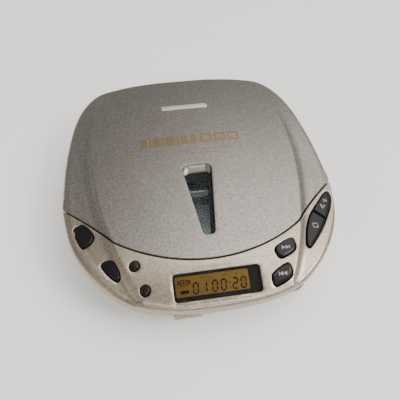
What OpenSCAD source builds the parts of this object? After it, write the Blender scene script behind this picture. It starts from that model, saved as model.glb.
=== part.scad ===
// Portable compact disc player: domed lid over the disc, sloping control panel
// in front, tapering lower cabinet, and the disc mechanism between them.
// X runs to the right, Y to the hinge at the back, Z up. The origin is on the
// ground under the middle of the case.

/* [Case] */
// Height of the lid's highest point over the ground
height = 32; // [31.5:0.5:33]
// Wall of the lid and control panel
wall = 2; // [1.8:0.1:2.2]
// Wall of the lower cabinet
base_wall = 1.8; // [1.5:0.1:2]
// Gap between the lid and the control panel
seam_gap = 0.6; // [0.4:0.1:0.7]
// Radius of the top outer edge
edge_r = 2.5; // [2:0.1:2.8]
// Height of the feet under the case
foot_h = 1; // [0.8:0.1:1]

/* [Disc] */
// Radius of the disc
disc_r = 60; // [60:0.5:60]
// Thickness of the disc
disc_t = 1.2; // [1.2:0.1:1.4]
// Height of the disc's underside
disc_z = 20; // [19.9:0.1:20.2]
// Radius of the well that the disc lies in
well_r = 62; // [61.5:0.5:62]

/* [Controls] */
// Gap between a button and its hole
button_gap = 0.35; // [0.3:0.05:0.4]
// How far a button stands over the panel
button_proud = 0.7; // [0.5:0.1:1]
// Width of the display window
display_w = 39; // [37:0.5:40]
// Depth of the display window, front to back
display_d = 11; // [10:0.5:11.5]
// Radius of the volume wheel
volume_r = 9.5; // [9:0.1:9.6]

/* [Sockets] */
// Radius of the hole for a 3.5 mm plug
plug_r = 1.8; // [1.8:0.05:1.85]
// Depth of the hole for a 3.5 mm plug
plug_depth = 14; // [13:0.5:14]

/* [Hidden] */

silver = [0.66, 0.64, 0.61];
dark = [0.10, 0.10, 0.11];
steel = [0.72, 0.73, 0.75];
board = [0.13, 0.36, 0.22];
eps = 0.01;

// ---------------------------------------------------------------- outline
// Right half of the case seen from above, from the front middle to the back middle
half_outline = [
    [0, -73], [20, -71.9], [38, -66.9], [53, -54.2], [63.2, -37], [67.4, -15.5], [67.6, 5],
    [65.6, 25], [62.2, 43.5], [57, 57.5], [48.5, 67.6], [35, 71.4], [18, 73], [0, 73],
];
outline_steps = 4;

function mirrored(points) = [for (i = [len(points) - 2:-1:1]) [-points[i].x, points[i].y]];
function spline(a, b, c, d, t) =
    0.5 * (2 * b + (c - a) * t + (2 * a - 5 * b + 4 * c - d) * t * t + (3 * b - a - 3 * c + d) * t * t * t);
function closed_spline(points, steps) = let (n = len(points)) [
    for (i = [0:n - 1], j = [0:steps - 1])
        spline(points[(i + n - 1) % n], points[i], points[(i + 1) % n], points[(i + 2) % n], j / steps)
];
function unit(v) = v / norm(v);
function normals(points) = let (n = len(points)) [
    for (i = [0:n - 1]) let (t = unit(points[(i + 1) % n] - points[(i + n - 1) % n])) [t.y, -t.x]
];

outline = closed_spline(concat(half_outline, mirrored(half_outline)), outline_steps);
outline_n = normals(outline);
function inset(d) = [for (i = [0:len(outline) - 1]) outline[i] - outline_n[i] * d];
function at_z(points, z) = [for (p = points) [p.x, p.y, z]];

// ---------------------------------------------------------------- top surface
dome_y = 10;
crease_r = 205;
function crease_x(y) = sqrt(crease_r * crease_r - (y - 22) * (y - 22)) - 151.6;
function ease(t) = let (u = max(0, min(1, t))) u * u * (3 - 2 * u);
// Height of the case's top: a shallow dome that falls away at the front, with a
// raised middle between two long creases
function top_z(x, y) =
    let (w = max(0, abs(x) - crease_x(y)), m = min(abs(x), crease_x(y)), f = max(0, -45 - y))
    height - m * m / 1100 - pow(y - dome_y, 2) / 1400 - 0.009 * f * f
        - 1.9 * ease((50 - y) / 60) * ease(w / 4.5) - 0.15 * w;

// ---------------------------------------------------------------- seam
seam_c = [0, 20];
seam_r = 73;
seam_corner = [43.9, -38.3];
seam_pull = [49.6, -29.8];
seam_end = [67.45, -14.6];
function flare(t) = seam_corner * (1 - t) * (1 - t) + seam_pull * 2 * t * (1 - t) + seam_end * t * t;
arc_half = asin(seam_corner.x / seam_r);
function flip(p) = [-p.x, p.y];
// From the left end of the seam to its right end, moved by d away from the lid
seam_line = concat(
    [for (i = [6:-1:1]) flip(flare(i / 6))],
    [for (i = [-10:10]) let (a = i * arc_half / 10) seam_c + seam_r * [sin(a), -cos(a)]],
    [for (i = [1:6]) flare(i / 6)]
);
function seam(d) = [for (p = seam_line) p + unit(p - seam_c) * d];

// ---------------------------------------------------------------- lofts
// Joins closed loops of equal length into one solid. The loops run anticlockwise
// seen from the side that the list goes towards. A ring of loops has no caps.
module loft(loops, capped = true) {
    n = len(loops[0]);
    m = len(loops);
    last = capped ? m - 2 : m - 1;
    sides = [
        for (k = [0:last], i = [0:n - 1], h = [0, 1])
            let (a = k * n + i, b = k * n + (i + 1) % n, c = ((k + 1) % m) * n + (i + 1) % n,
                 d = ((k + 1) % m) * n + i)
                h == 0 ? [a, c, b] : [a, d, c]
    ];
    caps = [[for (i = [0:n - 1]) i], [for (i = [n - 1:-1:0]) (m - 1) * n + i]];
    polyhedron([for (l = loops) each l], capped ? concat(sides, caps) : sides, convexity = 8);
}

// ---------------------------------------------------------------- hinge
hinge_y = 66.5;
hinge_z = 17.5;
// Radius of the trough that the lid's back edge swings through, at each x
trough = [[0, 7.6], [20, 7.5], [30, 6.9], [38, 5.9], [44, 4.8], [50, 3.4], [54, 3]];
hinge_half = 54;
ear_x = 28;
ear_w = 3;
arm_gap = 0.3;
pin_r = 1;
// The trough's inside, grown by d all round
module trough_body(d = 0) translate([0, hinge_y, hinge_z]) rotate([0, 90, 0])
    rotate_extrude($fn = 96) polygon(concat(
    [[0, -hinge_half - d]],
    [for (i = [len(trough) - 1:-1:1])
        [trough[i][1] + d, i == len(trough) - 1 ? -hinge_half - d : -trough[i][0]]],
    [for (i = [0:len(trough) - 1]) [trough[i][1] + d, i == len(trough) - 1 ? hinge_half + d : trough[i][0]]],
    [[0, hinge_half + d]]
));
module along_x(x0, x1, r, y = hinge_y, z = hinge_z) {
    translate([x0, y, z]) rotate([0, 90, 0]) cylinder(r = r, h = x1 - x0, $fn = 64);
}

// ---------------------------------------------------------------- lower cabinet
base_top = 13.4;
// Inset from the outline and height, from the bottom up
base_profile = [[13, 1], [10.4, 1.5], [7.9, 3.1], [5.8, 5.6], [4.2, 8.6], [3, 11.2], [2.5, base_top]];
inner_profile = [for (p = base_profile) [p[0] + base_wall + (p[1] < 3.2 ? 0.8 : 0), max(p[1], 2.6)]];
spindle = [0, 10];
boss_spots = [[-45, -30], [45, -30], [-50, 30], [50, 30], [-38, 54], [38, 54]];
foot_spots = [[-38, -46], [38, -46], [-47, 45], [47, 45]];
foot_r = 4.5;
jack_z = 8;
phones_y = -18;
line_y = -4;
power_y = 18;
hold_y = -8;
limiter_y = 5;
wheel_c = [35.1, -56.3];
wheel_z = 9.6;
wheel_h = 3;
open_x = -14;
door = [58, 29.6];
door_c = [0, 41.4];
door_t = 1.4;

door_hinge_y = door_c.y - door.y / 2 + door_t / 2;
module door_pins(r) along_x(-door.x / 2 - 2, door.x / 2 + 2, r, door_hinge_y, 1 + door_t / 2);

module bottom_cabinet() color(silver) difference() {
    union() {
        loft(concat(
            [for (p = base_profile) at_z(inset(p[0]), p[1])],
            [for (i = [6, 5, 4, 3, 2, 1]) at_z(inset(inner_profile[i][0]), inner_profile[i][1])]
        ));
        for (s = boss_spots) translate([s.x, s.y, 2]) cylinder(r = 3, h = 9.4, $fn = 48);
        translate([0.1, -67.5, 9.5]) cube([1.2, 4.6, 3.7]);
    }
    for (s = boss_spots) translate([s.x, s.y, 0]) {
        cylinder(r = 1.3, h = 20, $fn = 32);
        cylinder(r = 2.3, h = 3.2, $fn = 32);
    }
    for (s = foot_spots) translate([s.x, s.y, 0]) cylinder(r = foot_r + 0.1, h = 1.4, $fn = 48);
    translate([door_c.x - door.x / 2 - 0.3, door_c.y - door.y / 2 - 0.3, 0])
        cube([door.x + 0.6, door.y + 0.6, 4]);
    trough_body(1.3);
    door_pins(0.5);
    for (y = [phones_y, line_y]) along_x(54, 72, 4.2, y, jack_z);
    along_x(-72, -54, 4.8, power_y, jack_z);
    for (y = [hold_y, limiter_y]) translate([-70, y - 4.6, 5.9]) cube([14, 9.2, 4.4]);
    translate([wheel_c.x, wheel_c.y, wheel_z - 0.5]) cylinder(r = volume_r + 0.7, h = 8, $fn = 96);
    translate([open_x - 7, -74, 8.7]) cube([18.4, 10, 8]);
}

// ---------------------------------------------------------------- middle frame
frame_top = 15.2;
lid_skirt_z = 15.5;
back_half = [for (i = [0:len(outline) - 1]) if (outline[i].y > -12) i];
function band(d0, d1) = concat(
    [for (i = back_half) outline[i] - outline_n[i] * d0],
    [for (j = [len(back_half) - 1:-1:0]) let (i = back_half[j]) outline[i] - outline_n[i] * d1]
);
module middle_frame() color(silver) difference() {
    union() {
        translate([0, 0, base_top]) linear_extrude(frame_top - base_top) polygon(band(1.3, 4.4));
        translate([0, 0, frame_top - 0.1]) linear_extrude(17.5 - frame_top) polygon(band(3.1, 4.4));
        intersection() {
            trough_body(1.2);
            translate([0, 0, 5]) linear_extrude(12.5) polygon(inset(3.4));
        }
    }
    difference() {
        trough_body();
        for (s = [-1, 1]) translate([s * (ear_x + ear_w / 2), hinge_y, hinge_z]) {
            rotate([0, 90, 0]) cylinder(r = 2.8, h = ear_w, center = true, $fn = 48);
            translate([-ear_w / 2, -9, -2.8]) cube([ear_w, 9, 2.8]);
        }
    }
    along_x(-ear_x - ear_w - 1, ear_x + ear_w + 1, pin_r);
}

// ---------------------------------------------------------------- front panel
panel_bottom = 13.5;
panel_columns = [for (i = [0:len(outline) - 1]) if (outline[i].y < -15.2) i];
panel_order = concat(
    [for (i = panel_columns) if (outline[i].x < 0) i],
    [for (i = panel_columns) if (outline[i].x >= 0) i]
);
// Where the ray from the seam's centre through p crosses the seam
function seam_hit(p) =
    let (u = unit([abs(p.x), p.y] - seam_c), turn = atan2(u.x, -u.y))
    turn <= arc_half ? let (q = seam_c + u * seam_r) [sign(p.x) * q.x, q.y]
    : let (
        v = [u.y, -u.x], a = seam_corner * v - 2 * (seam_pull * v) + seam_end * v,
        b = 2 * (seam_pull * v) - 2 * (seam_corner * v), c = seam_corner * v - seam_c * v,
        root = sqrt(max(0, b * b - 4 * a * c)), t1 = (-b + root) / (2 * a), t2 = (-b - root) / (2 * a),
        t = (t1 >= 0 && t1 <= 1.001) ? t1 : t2, q = flare(min(1, max(0, t)))
    ) [sign(p.x) * q.x, q.y];
panel_across = [0.06, 0.2, 0.35, 0.5, 0.65, 0.8, 0.92];
function panel_section(i) =
    let (
        o = outline[i], s0 = seam_hit(o), u = unit(o - s0), s = s0 + u * seam_gap / 2,
        width = norm(o - s), er = min(edge_r, width * 0.4), w = min(wall, width * 0.3),
        q = o - u * er, z0 = top_z(s.x, s.y), zq = top_z(q.x, q.y),
        low = max(panel_bottom, z0 - 5), spread = [for (t = panel_across) s + (q - s) * t]
    ) concat(
        [[s.x, s.y, low], [s.x, s.y, z0 - 0.3]],
        [for (p = spread) [p.x, p.y, top_z(p.x, p.y)]],
        [for (a = [90:-30:0]) let (p = o - u * er * (1 - cos(a))) [p.x, p.y, zq - er * (1 - sin(a))]],
        [let (p = o - u * min(1, width * 0.1)) [p.x, p.y, panel_bottom]],
        [let (p = o - u * (min(1, width * 0.1) + w)) [p.x, p.y, panel_bottom]],
        [let (p = o - u * (w + 0.2)) [p.x, p.y, zq - er - 0.6]],
        [for (j = [len(spread) - 1:-1:0])
            let (f = max(w / width + 0.02, min(1 - (w + 0.8) / width, panel_across[j])),
            p = s + (o - s) * f) [p.x, p.y, top_z(p.x, p.y) - wall]],
        [let (p = s + u * w) [p.x, p.y, low]]
    );

// Outlines of the buttons, seen from above, on the right of the middle
skip_forward_pts = [[28.3, -54.9], [28.6, -51.2], [36.3, -47.5], [38.2, -49.4], [37.4, -53.6], [30.6, -56.7]];
skip_back_pts = [[24.2, -66], [24.9, -62.4], [32.1, -58.7], [34, -60.6], [33.3, -64.6], [26.2, -67.8]];
leaf_pts = [
    [64.3, -21.4], [61.2, -22.8], [53.2, -31.3], [49.3, -36.3], [46.1, -42.6], [43.9, -49.6],
    [44.3, -51.7], [46.2, -51.8], [52.6, -45.2], [58.3, -37.6], [62.4, -31], [64.6, -25.4],
];
sound_pts = [
    [-62.4, -27.6], [-60.2, -25], [-57.2, -25.3], [-52.9, -31.4], [-53.3, -35], [-56.2, -37.4], [-59, -36.8],
];
bass_pts = [
    [-50.1, -47.7], [-47.6, -46], [-44.5, -46.8], [-42, -52], [-41.9, -55.4], [-43.8, -56.1], [-47.6, -52.3],
];
mode_c = [-35.2, -51.6];
repeat_c = [-31.6, -62.4];
round_r = 2.4;
smooth_steps = 4;
module smooth(points, d = 0) {
    p = closed_spline(points, smooth_steps);
    n = normals(p);
    s = sign(cross(concat(p[1] - p[0], 0), concat(p[3] - p[1], 0)).z);
    polygon([for (i = [0:len(p) - 1]) p[i] + n[i] * d * s]);
}
leaf_split = [[51, -31.2], [59.4, -39]];
// Half of the long button: side 1 is the back half and side -1 the front half
module leaf_half(side, d) {
    along = unit(leaf_split[1] - leaf_split[0]);
    turn = atan2(along.y, along.x);
    intersection() {
        smooth(leaf_pts, d);
        translate(leaf_split[0]) rotate(turn) translate([-20, side > 0 ? -d / 2 + 0.3 : -40.3])
            square([60, 40]);
    }
}
display_c = [0, -63.3];
module display_shape(d = 0) {
    r = 1.5 - d;
    translate(display_c) {
        square([display_w - 2 * d, display_d - 2 * d - 2 * r], center = true);
        square([display_w - 2 * d - 2 * r, display_d - 2 * d], center = true);
        for (sx = [-1, 1], sy = [-1, 1])
            translate([sx * (display_w / 2 - d - r), sy * (display_d / 2 - d - r)]) circle(r = r, $fn = 32);
    }
}
module button_shapes(d) {
    smooth(skip_forward_pts, d);
    smooth(skip_back_pts, d);
    smooth(leaf_pts, d);
    smooth(sound_pts, d);
    smooth(bass_pts, d);
}
module front_panel() color(silver) difference() {
    loft([for (i = panel_order) panel_section(i)]);
    translate([0, 0, 14]) linear_extrude(20) button_shapes(0);
    for (c = [mode_c, repeat_c]) translate([c.x, c.y, 14]) cylinder(r = round_r, h = 20, $fn = 48);
    translate([0, 0, 14]) linear_extrude(20) display_shape();
}

// ---------------------------------------------------------------- disc tray
tray_z = 17.6;
tray_t = 1.2;
module tray_plan() {
    intersection() {
        polygon(inset(3.8));
        union() {
            circle_at(spindle, well_r + 1.4);
            translate([-80, -3]) square([160, 100]);
        }
    }
}
module circle_at(c, r) translate(c) circle(r = r, $fn = 128);
module disc_tray() color(dark) difference() {
    union() {
        translate([0, 0, tray_z]) linear_extrude(tray_t) tray_plan();
        intersection() {
            translate([spindle.x, spindle.y, tray_z]) difference() {
                cylinder(r = well_r + 1.4, h = 3.7, $fn = 128);
                translate([0, 0, -1]) cylinder(r = well_r, h = 8, $fn = 128);
            }
            translate([-70, -60, 10]) cube([140, 92, 20]);
        }
        for (s = boss_spots) translate([s.x, s.y, 11.5]) cylinder(r = 2.6, h = 6.3, $fn = 32);
    }
    translate([spindle.x, spindle.y, 10]) cylinder(r = 18, h = 20, $fn = 96);
    translate([-15, -50.2, 10]) cube([30, 53, 20]);
    trough_body(2);
    for (s = boss_spots) translate([s.x, s.y, 5]) cylinder(r = 0.85, h = 11, $fn = 32);
    translate([-5, -56, 10]) cube([13, 5.6, 20]);
}

module rubber_feet() color(dark) for (s = foot_spots) translate([s.x, s.y, 0]) {
    cylinder(r1 = foot_r - 0.6, r2 = foot_r, h = foot_h, $fn = 48);
    translate([0, 0, foot_h - eps]) cylinder(r = foot_r, h = 0.4, $fn = 48);
}

module screw(head_r, head_h, shank_r, length) {
    difference() {
        cylinder(r = head_r, h = head_h, $fn = 32);
        for (a = [0, 90]) rotate(a) translate([-head_r * 0.6, -0.25, -1]) cube([head_r * 1.2, 0.5, 1.6]);
    }
    translate([0, 0, head_h - eps]) cylinder(r = shank_r, h = length, $fn = 32);
}
module case_screws() color(steel) for (s = boss_spots) translate([s.x, s.y, 1.9]) screw(2, 1.3, 0.8, 11);

// ---------------------------------------------------------------- lid
slot_c = [0, -20];
slot_back = 0.6;
slot_front = -41.2;
slot_half_back = 7.8;
slot_half_front = 2.7;
slot_n = unit([slot_back - slot_front, slot_half_front - slot_half_back]);
slot_h = slot_n * [slot_half_back, slot_back - slot_c.y];
// Distance from the slot's centre to its rounded edge in direction u
function slot_reach(u, p = 9) = pow(
    pow(max(0, u.y) / (slot_back - slot_c.y), p) + pow(max(0, -u.y) / (slot_c.y - slot_front), p)
    + pow(max(0, slot_n * [abs(u.x), u.y]) / slot_h, p), -1 / p);

// Outline points that the lid covers, from its right front corner round the back to the left
lid_right = [for (i = [0:len(outline) - 1]) if (outline[i].y > -13.6) outline[i]];
lid_loop = concat(lid_right, seam(-seam_gap / 2));
lid_on_seam = concat([for (p = lid_right) 0], [0], [for (i = [1:len(seam_line) - 2]) 1], [0]);
lid_n = normals(lid_loop);
function lid_in(i, d) = let (u = unit(lid_loop[i] - slot_c)) lid_loop[i] - u * d / max(0.6, lid_n[i] * u);
function lid_ring(f) = [for (i = [0:len(lid_loop) - 1]) f(i)];
function lid_r(i) = lid_on_seam[i] == 1 ? 0.4 : edge_r;
function lid_low(i) = lid_on_seam[i] == 1 ? top_z(lid_loop[i].x, lid_loop[i].y) - 4.6 : lid_skirt_z;
function lid_round(i, a) = let (r = lid_r(i), p = lid_in(i, r * (1 - cos(a))), q = lid_in(i, r))
    [p.x, p.y, top_z(q.x, q.y) - r * (1 - sin(a))];
function slot_at(i) = let (u = unit(lid_loop[i] - slot_c)) slot_c + u * slot_reach(u);
function lid_across(i, t, drop) = let (q = lid_in(i, lid_r(i)), p = q + (slot_at(i) - q) * t)
    [p.x, p.y, top_z(p.x, p.y) - drop];
// The slot's back end slopes towards the window
function slot_foot(i) =
    let (p = slot_at(i), s = p - [0, 3.2 * ease((p.y + 4) / 3)]) [s.x, s.y, top_z(p.x, p.y) - 3];
lid_steps = [0.06, 0.14, 0.26, 0.4, 0.55, 0.7, 0.85, 1];

module lid_shell() loft(concat(
    [lid_ring(function(i) let (p = lid_in(i, lid_on_seam[i] == 1 ? 0 : 0.8)) [p.x, p.y, lid_low(i)])],
    [for (a = [0, 30, 60, 90]) lid_ring(function(i) lid_round(i, a))],
    [for (t = lid_steps) lid_ring(function(i) lid_across(i, t, 0))],
    [lid_ring(function(i) slot_foot(i))],
    [lid_ring(function(i) let (p = lid_across(i, 0.94, 3)) p)],
    [for (j = [5:-1:1]) lid_ring(function(i) lid_across(i, lid_steps[j], wall))],
    [lid_ring(function(i) let (p = lid_in(i, lid_r(i) + 0.8), q = lid_in(i, lid_r(i)))
        [p.x, p.y, top_z(q.x, q.y) - wall - 0.6])],
    [lid_ring(function(i) let (p = lid_in(i, (lid_on_seam[i] == 1 ? 0 : 0.8) + wall * 0.8))
        [p.x, p.y, lid_low(i)])]
), capped = false);
catch_x = -3;
catch_w = 4;
module lid_cover() color(silver) {
    lid_shell();
    translate([catch_x, -52.5, 19]) cube([catch_w, 1.3, 7]);
}

liner_z = 23.4;
liner_t = 1.2;
liner_r = 57;
module slot_plan(grow) polygon([
    [slot_half_back + grow, slot_back + grow], [-slot_half_back - grow, slot_back + grow],
    [-slot_half_front - grow, slot_front - grow], [slot_half_front + grow, slot_front - grow],
]);
module lid_liner() color(dark) {
    difference() {
        union() {
            translate([0, 0, liner_z]) linear_extrude(liner_t) {
                circle_at(spindle, liner_r);
                for (s = [-1, 1]) translate([s * (ear_x + ear_w + arm_gap + 1.5) - 4, 44]) square([8, 24]);
            }
            for (s = [-1, 1]) translate([s * (ear_x + ear_w + arm_gap + 1.5), hinge_y, hinge_z]) {
                rotate([0, 90, 0]) cylinder(r = 2.8, h = ear_w, center = true, $fn = 48);
                translate([-ear_w / 2, -2.8, 0]) cube([ear_w, 4, liner_z + liner_t - hinge_z]);
            }
        }
        translate([0, 0, 20]) linear_extrude(10) slot_plan(1.5);
        for (s = [-1, 1]) along_x(
            s > 0 ? ear_x + ear_w : -ear_x - 2 * ear_w - 1,
            s > 0 ? ear_x + 2 * ear_w + 1 : -ear_x - ear_w,
            pin_r + 0.05);
    }
}
window_tilt = 2.6;
module lid_window() color([0.05, 0.06, 0.07, 0.5])
    translate([0, 0, height - 3.35]) rotate([window_tilt, 0, 0]) translate([0, 0, -1.2])
        linear_extrude(1.2) slot_plan(2.2);

// A plain raised bar in the middle of the lid's back
badge = [26, 3.2];
badge_y = 45.5;
module lid_badge() color(steel) hull() for (s = [-1, 1])
    translate([s * (badge.x - badge.y) / 2, badge_y, top_z(0, badge_y - badge.y / 2) + 0.02])
        cylinder(r = badge.y / 2, h = 0.7, $fn = 32);

module hinge_pins() color(steel) {
    along_x(ear_x - 8, ear_x + 2 * ear_w + arm_gap, pin_r);
    along_x(-ear_x - 2 * ear_w - arm_gap, -ear_x - 0.4, pin_r);
}

// A coil of round wire about the X axis, with turns a wire's width apart
module coil_x(x0, turns, r, wire) for (k = [0:turns - 1])
    translate([x0 + k * wire * 2.2, 0, 0]) rotate([0, 90, 0])
        rotate_extrude($fn = 48) translate([r, 0]) circle(r = wire, $fn = 16);
module lid_spring() color(steel) translate([ear_x - 7, hinge_y, hinge_z]) {
    coil_x(0, 6, 1.7, 0.35);
    translate([4.7, 1.7, 0]) rotate([180, 0, 0]) cylinder(r = 0.35, h = 2.6, $fn = 16);
}

// ---------------------------------------------------------------- display
display_slope = 23;
module on_slope(y, z) translate([0, y, z]) rotate([display_slope, 0, 0]) children();
display_z = 24.5;
panel_drop = 1.4;
module display_window() color([0.55, 0.5, 0.35, 0.35]) intersection() {
    translate([0, 0, 10]) linear_extrude(20) display_shape(0.1);
    on_slope(display_c.y, display_z) translate([-30, -20, -1]) cube([60, 40, 1]);
}
module display_panel() color([0.42, 0.36, 0.18])
    on_slope(display_c.y, display_z - panel_drop)
    translate([-19, -5.4, -1.6]) cube([38, 11.2, 1.6]);
module display_holder() color(dark) difference() {
    on_slope(display_c.y, display_z - panel_drop) translate([-21, -5.9, -3.4]) cube([42, 12.2, 2.6]);
    on_slope(display_c.y, display_z - panel_drop) translate([-19.1, -5.5, -1.7]) cube([38.2, 11.4, 4]);
}

key_board_z = 14;
key_board_t = 1.2;
switch_h = 1.8;
key_top = key_board_z + key_board_t + switch_h;
skip_forward_c = [33.3, -52];
skip_back_c = [29.1, -63.3];
play_c = [58.6, -30];
stop_c = [50.6, -42.4];
sound_c = [-57.5, -31.2];
bass_c = [-45.4, -50.8];
switch_spots = [skip_forward_c, skip_back_c, play_c, stop_c, sound_c, bass_c, mode_c, repeat_c];
module key_board() color(board) difference() {
    translate([0, 0, key_board_z]) linear_extrude(key_board_t) difference() {
        polygon(inset(3.8));
        circle_at(spindle, 64);
        translate([-80, -24]) square([160, 120]);
        translate([-31.5, -57.2]) square([63, 40]);
    }
    translate([-6, -57.5, 10]) cube([13, 6, 10]);
}
module key_switches() color(dark) for (s = switch_spots) translate([s.x, s.y, key_board_z + key_board_t]) {
    translate([-2, -2, 0]) cube([4, 4, switch_h - 0.6]);
    cylinder(r = 1, h = switch_h, $fn = 24);
}

// ---------------------------------------------------------------- buttons
function slope_x(c) = (top_z(c.x + 1, c.y) - top_z(c.x - 1, c.y)) / 2;
function slope_y(c) = (top_z(c.x, c.y + 1) - top_z(c.x, c.y - 1)) / 2;
button_travel = 0.5;
// A cap whose top follows the panel, on a stem that ends just over its switch
module button(c, low) {
    z = top_z(c.x, c.y) + button_proud;
    intersection() {
        translate([0, 0, low]) linear_extrude(20) children();
        translate([c.x, c.y, z]) multmatrix([[1, 0, 0, 0], [0, 1, 0, 0], [slope_x(c), slope_y(c), 1, 0]])
            translate([-30, -30, -30]) cube([60, 60, 30]);
    }
    translate([c.x, c.y, key_top + button_travel + 0.1])
        cylinder(r = 1, h = low - key_top - button_travel, $fn = 24);
}
module sound_button() color(dark) button(sound_c, 20) smooth(sound_pts, -button_gap);
module bass_button() color(dark) button(bass_c, 19.6) smooth(bass_pts, -button_gap);
module mode_button() color(dark) button(mode_c, 21) circle_at(mode_c, round_r - button_gap);
module repeat_button() color(dark) button(repeat_c, 19) circle_at(repeat_c, round_r - button_gap);
module skip_forward_button() color(dark) button(skip_forward_c, 21) smooth(skip_forward_pts, -button_gap);
module skip_back_button() color(dark) button(skip_back_c, 18.6) smooth(skip_back_pts, -button_gap);
module play_button() color(dark) button(play_c, 20) leaf_half(1, -button_gap);
module stop_button() color(dark) button(stop_c, 19.4) leaf_half(-1, -button_gap);

// ---------------------------------------------------------------- boards and sockets
board_z = 3.4;
board_t = 1.2;
main_board_pts = [
    [29, 23], [54, 23], [55.5, 0], [53, -24], [46, -38], [39, -49], [35, -57], [30, -60],
    [-27, -60], [-35, -51],
    [-46, -38], [-53, -24], [-55.5, 0], [-54, 23], [-29, 23], [-29, -54], [29, -54],
];
module main_board() color(board) difference() {
    translate([0, 0, board_z]) linear_extrude(board_t) polygon(main_board_pts);
    for (s = boss_spots) translate([s.x, s.y, 0]) cylinder(r = 3.3, h = 10, $fn = 32);
}
// Place and size of each chip on the main board
chips = [
    [[-42, 4], [12, 12]], [[-43, -12], [9, 9]], [[40, 12], [8, 10]],
    [[-38, -23], [7, 5]], [[10, -57], [12, 4]],
];
module board_chips() color(dark) for (c = chips)
    translate([c[0].x - c[1].x / 2, c[0].y - c[1].y / 2, board_z + board_t]) cube([c[1].x, c[1].y, 1.8]);

module plug_socket(y, end) difference() {
    union() {
        translate([45, y - 4.5, board_z + board_t]) cube([12.5, 9, 7.4]);
        along_x(57.4, end, 3.4, y, jack_z);
    }
    along_x(end - plug_depth, end + 1, plug_r, y, jack_z);
}
module headphone_jack() color(dark) plug_socket(phones_y, 62.4);
module line_out_jack() color(dark) plug_socket(line_y, 63);
module power_jack() color(dark) {
    difference() {
        union() {
            translate([-57, power_y - 5, board_z + board_t]) cube([11, 10, 7]);
            along_x(-62, -56.9, 3.4, power_y, jack_z);
        }
        along_x(-63, -50, 2.8, power_y, jack_z);
    }
    along_x(-60.5, -49.9, 0.8, power_y, jack_z);
}

module volume_wheel() color(dark) translate([wheel_c.x, wheel_c.y, wheel_z]) difference() {
    cylinder(r = volume_r, h = wheel_h, $fn = 128);
    for (a = [0:9:351]) rotate(a) translate([volume_r + 0.15, 0, -1]) cylinder(r = 0.45, h = 6, $fn = 16);
}
module volume_shaft() color(steel)
    translate([wheel_c.x, wheel_c.y, 5.4]) cylinder(r = 1.5, h = wheel_z - 5.4, $fn = 32);
module volume_pot() color(steel) translate([wheel_c.x, wheel_c.y, board_z + board_t]) difference() {
    union() {
        cylinder(r = 1.9, h = 1, $fn = 48);
        translate([0, 0, 0.8]) cylinder(r = 2.5, h = 3.6, $fn = 48);
    }
    translate([0, 0, 0.5]) cylinder(r = 1.55, h = 6, $fn = 32);
}

slider_travel = 1.5;
module side_slider(y) {
    translate([-63.9, y - 1.6 - slider_travel / 2, 6.7]) cube([4.3, 3.2, 2.8]);
    translate([-59.7, y - 1 - slider_travel / 2, 7.2]) cube([2.6, 2, 1.8]);
}
module hold_slider() color(dark) side_slider(hold_y);
module limiter_slider() color(dark) side_slider(limiter_y);
module side_switches() color(steel) for (y = [hold_y, limiter_y]) difference() {
    translate([-58.6, y - 4, board_z + board_t]) cube([3.6, 8, 6]);
    translate([-59, y - 2.4, 7]) cube([2.4, 4.8, 2.2]);
}

open_y = -69.9;
module open_slider() color(silver) {
    difference() {
        translate([open_x - 6.5, open_y - 1.1, 9]) cube([13, 2.3, 4.2]);
        for (k = [-4:4]) translate([open_x + k * 1.2, open_y - 1.2, 9.6]) cylinder(r = 0.25, h = 3, $fn = 16);
    }
    translate([open_x - 2, open_y + 1.1, 11]) cube([4, 13.9, 1.4]);
    translate([open_x - 2, -57.3, 11]) cube([17, 2.7, 1.4]);
    translate([-1, -55.9, 11]) cube([2, 1.3, 10.1]);
    translate([-1, -55.9, 18.6]) cube([4, 1.3, 2.5]);
    translate([1.3, -55.9, 18.6]) cube([1.7, 4.5, 2.5]);
}
module open_spring() color(steel) translate([open_x + 2.6, open_y + 5, 11.7]) coil_x(0, 21, 1.1, 0.25);

// ---------------------------------------------------------------- battery
cell_r = 7.1;
cell_len = 49;
cell_y = [34.1, 48.7];
cell_z = 10.05;
holder = [60, 30.6];
module battery_door() color(silver) difference() {
    union() {
        translate([door_c.x - door.x / 2, door_hinge_y, foot_h]) cube([door.x, door.y - door_t / 2, door_t]);
        along_x(-door.x / 2, door.x / 2, door_t / 2, door_hinge_y, foot_h + door_t / 2);
        door_pins(0.45);
    }
    for (k = [0:5]) translate([-6, door_c.y + door.y / 2 - 9 + k * 1.2, foot_h - 0.2]) cube([12, 0.6, 0.5]);
}
module battery_holder() color(dark) difference() {
    translate([-holder.x / 2, door_c.y - holder.y / 2, 2.7]) cube([holder.x, holder.y, 14.7]);
    translate([-holder.x / 2 + 1, door_c.y - holder.y / 2 + 0.8, 1])
        cube([holder.x - 2, holder.y - 1.6, 16.2]);
}
module battery_cells() color([0.2, 0.22, 0.26]) for (k = [0, 1]) {
    s = k == 0 ? 1 : -1;
    along_x(-cell_len / 2, cell_len / 2, cell_r, cell_y[k], cell_z);
    along_x(
        s > 0 ? cell_len / 2 - eps : -cell_len / 2 - 1,
        s > 0 ? cell_len / 2 + 1 : -cell_len / 2 + eps,
        2.7, cell_y[k], cell_z);
}
module battery_contacts() color(steel) for (k = [0, 1]) {
    s = k == 0 ? 1 : -1;
    for (t = [-1, 1]) translate([t * 28.6 - 0.2, cell_y[k] - 4.5, cell_z - 5]) cube([0.4, 9, 10]);
    translate([-s * 28.4, cell_y[k], cell_z]) rotate([0, s * 90, 0])
        cylinder(r1 = 4, r2 = 2.4, h = 3.6, $fn = 32);
    translate([s * 28.4, cell_y[k], cell_z]) rotate([0, -s * 90, 0]) cylinder(r = 2, h = 2.4, $fn = 32);
}

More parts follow.
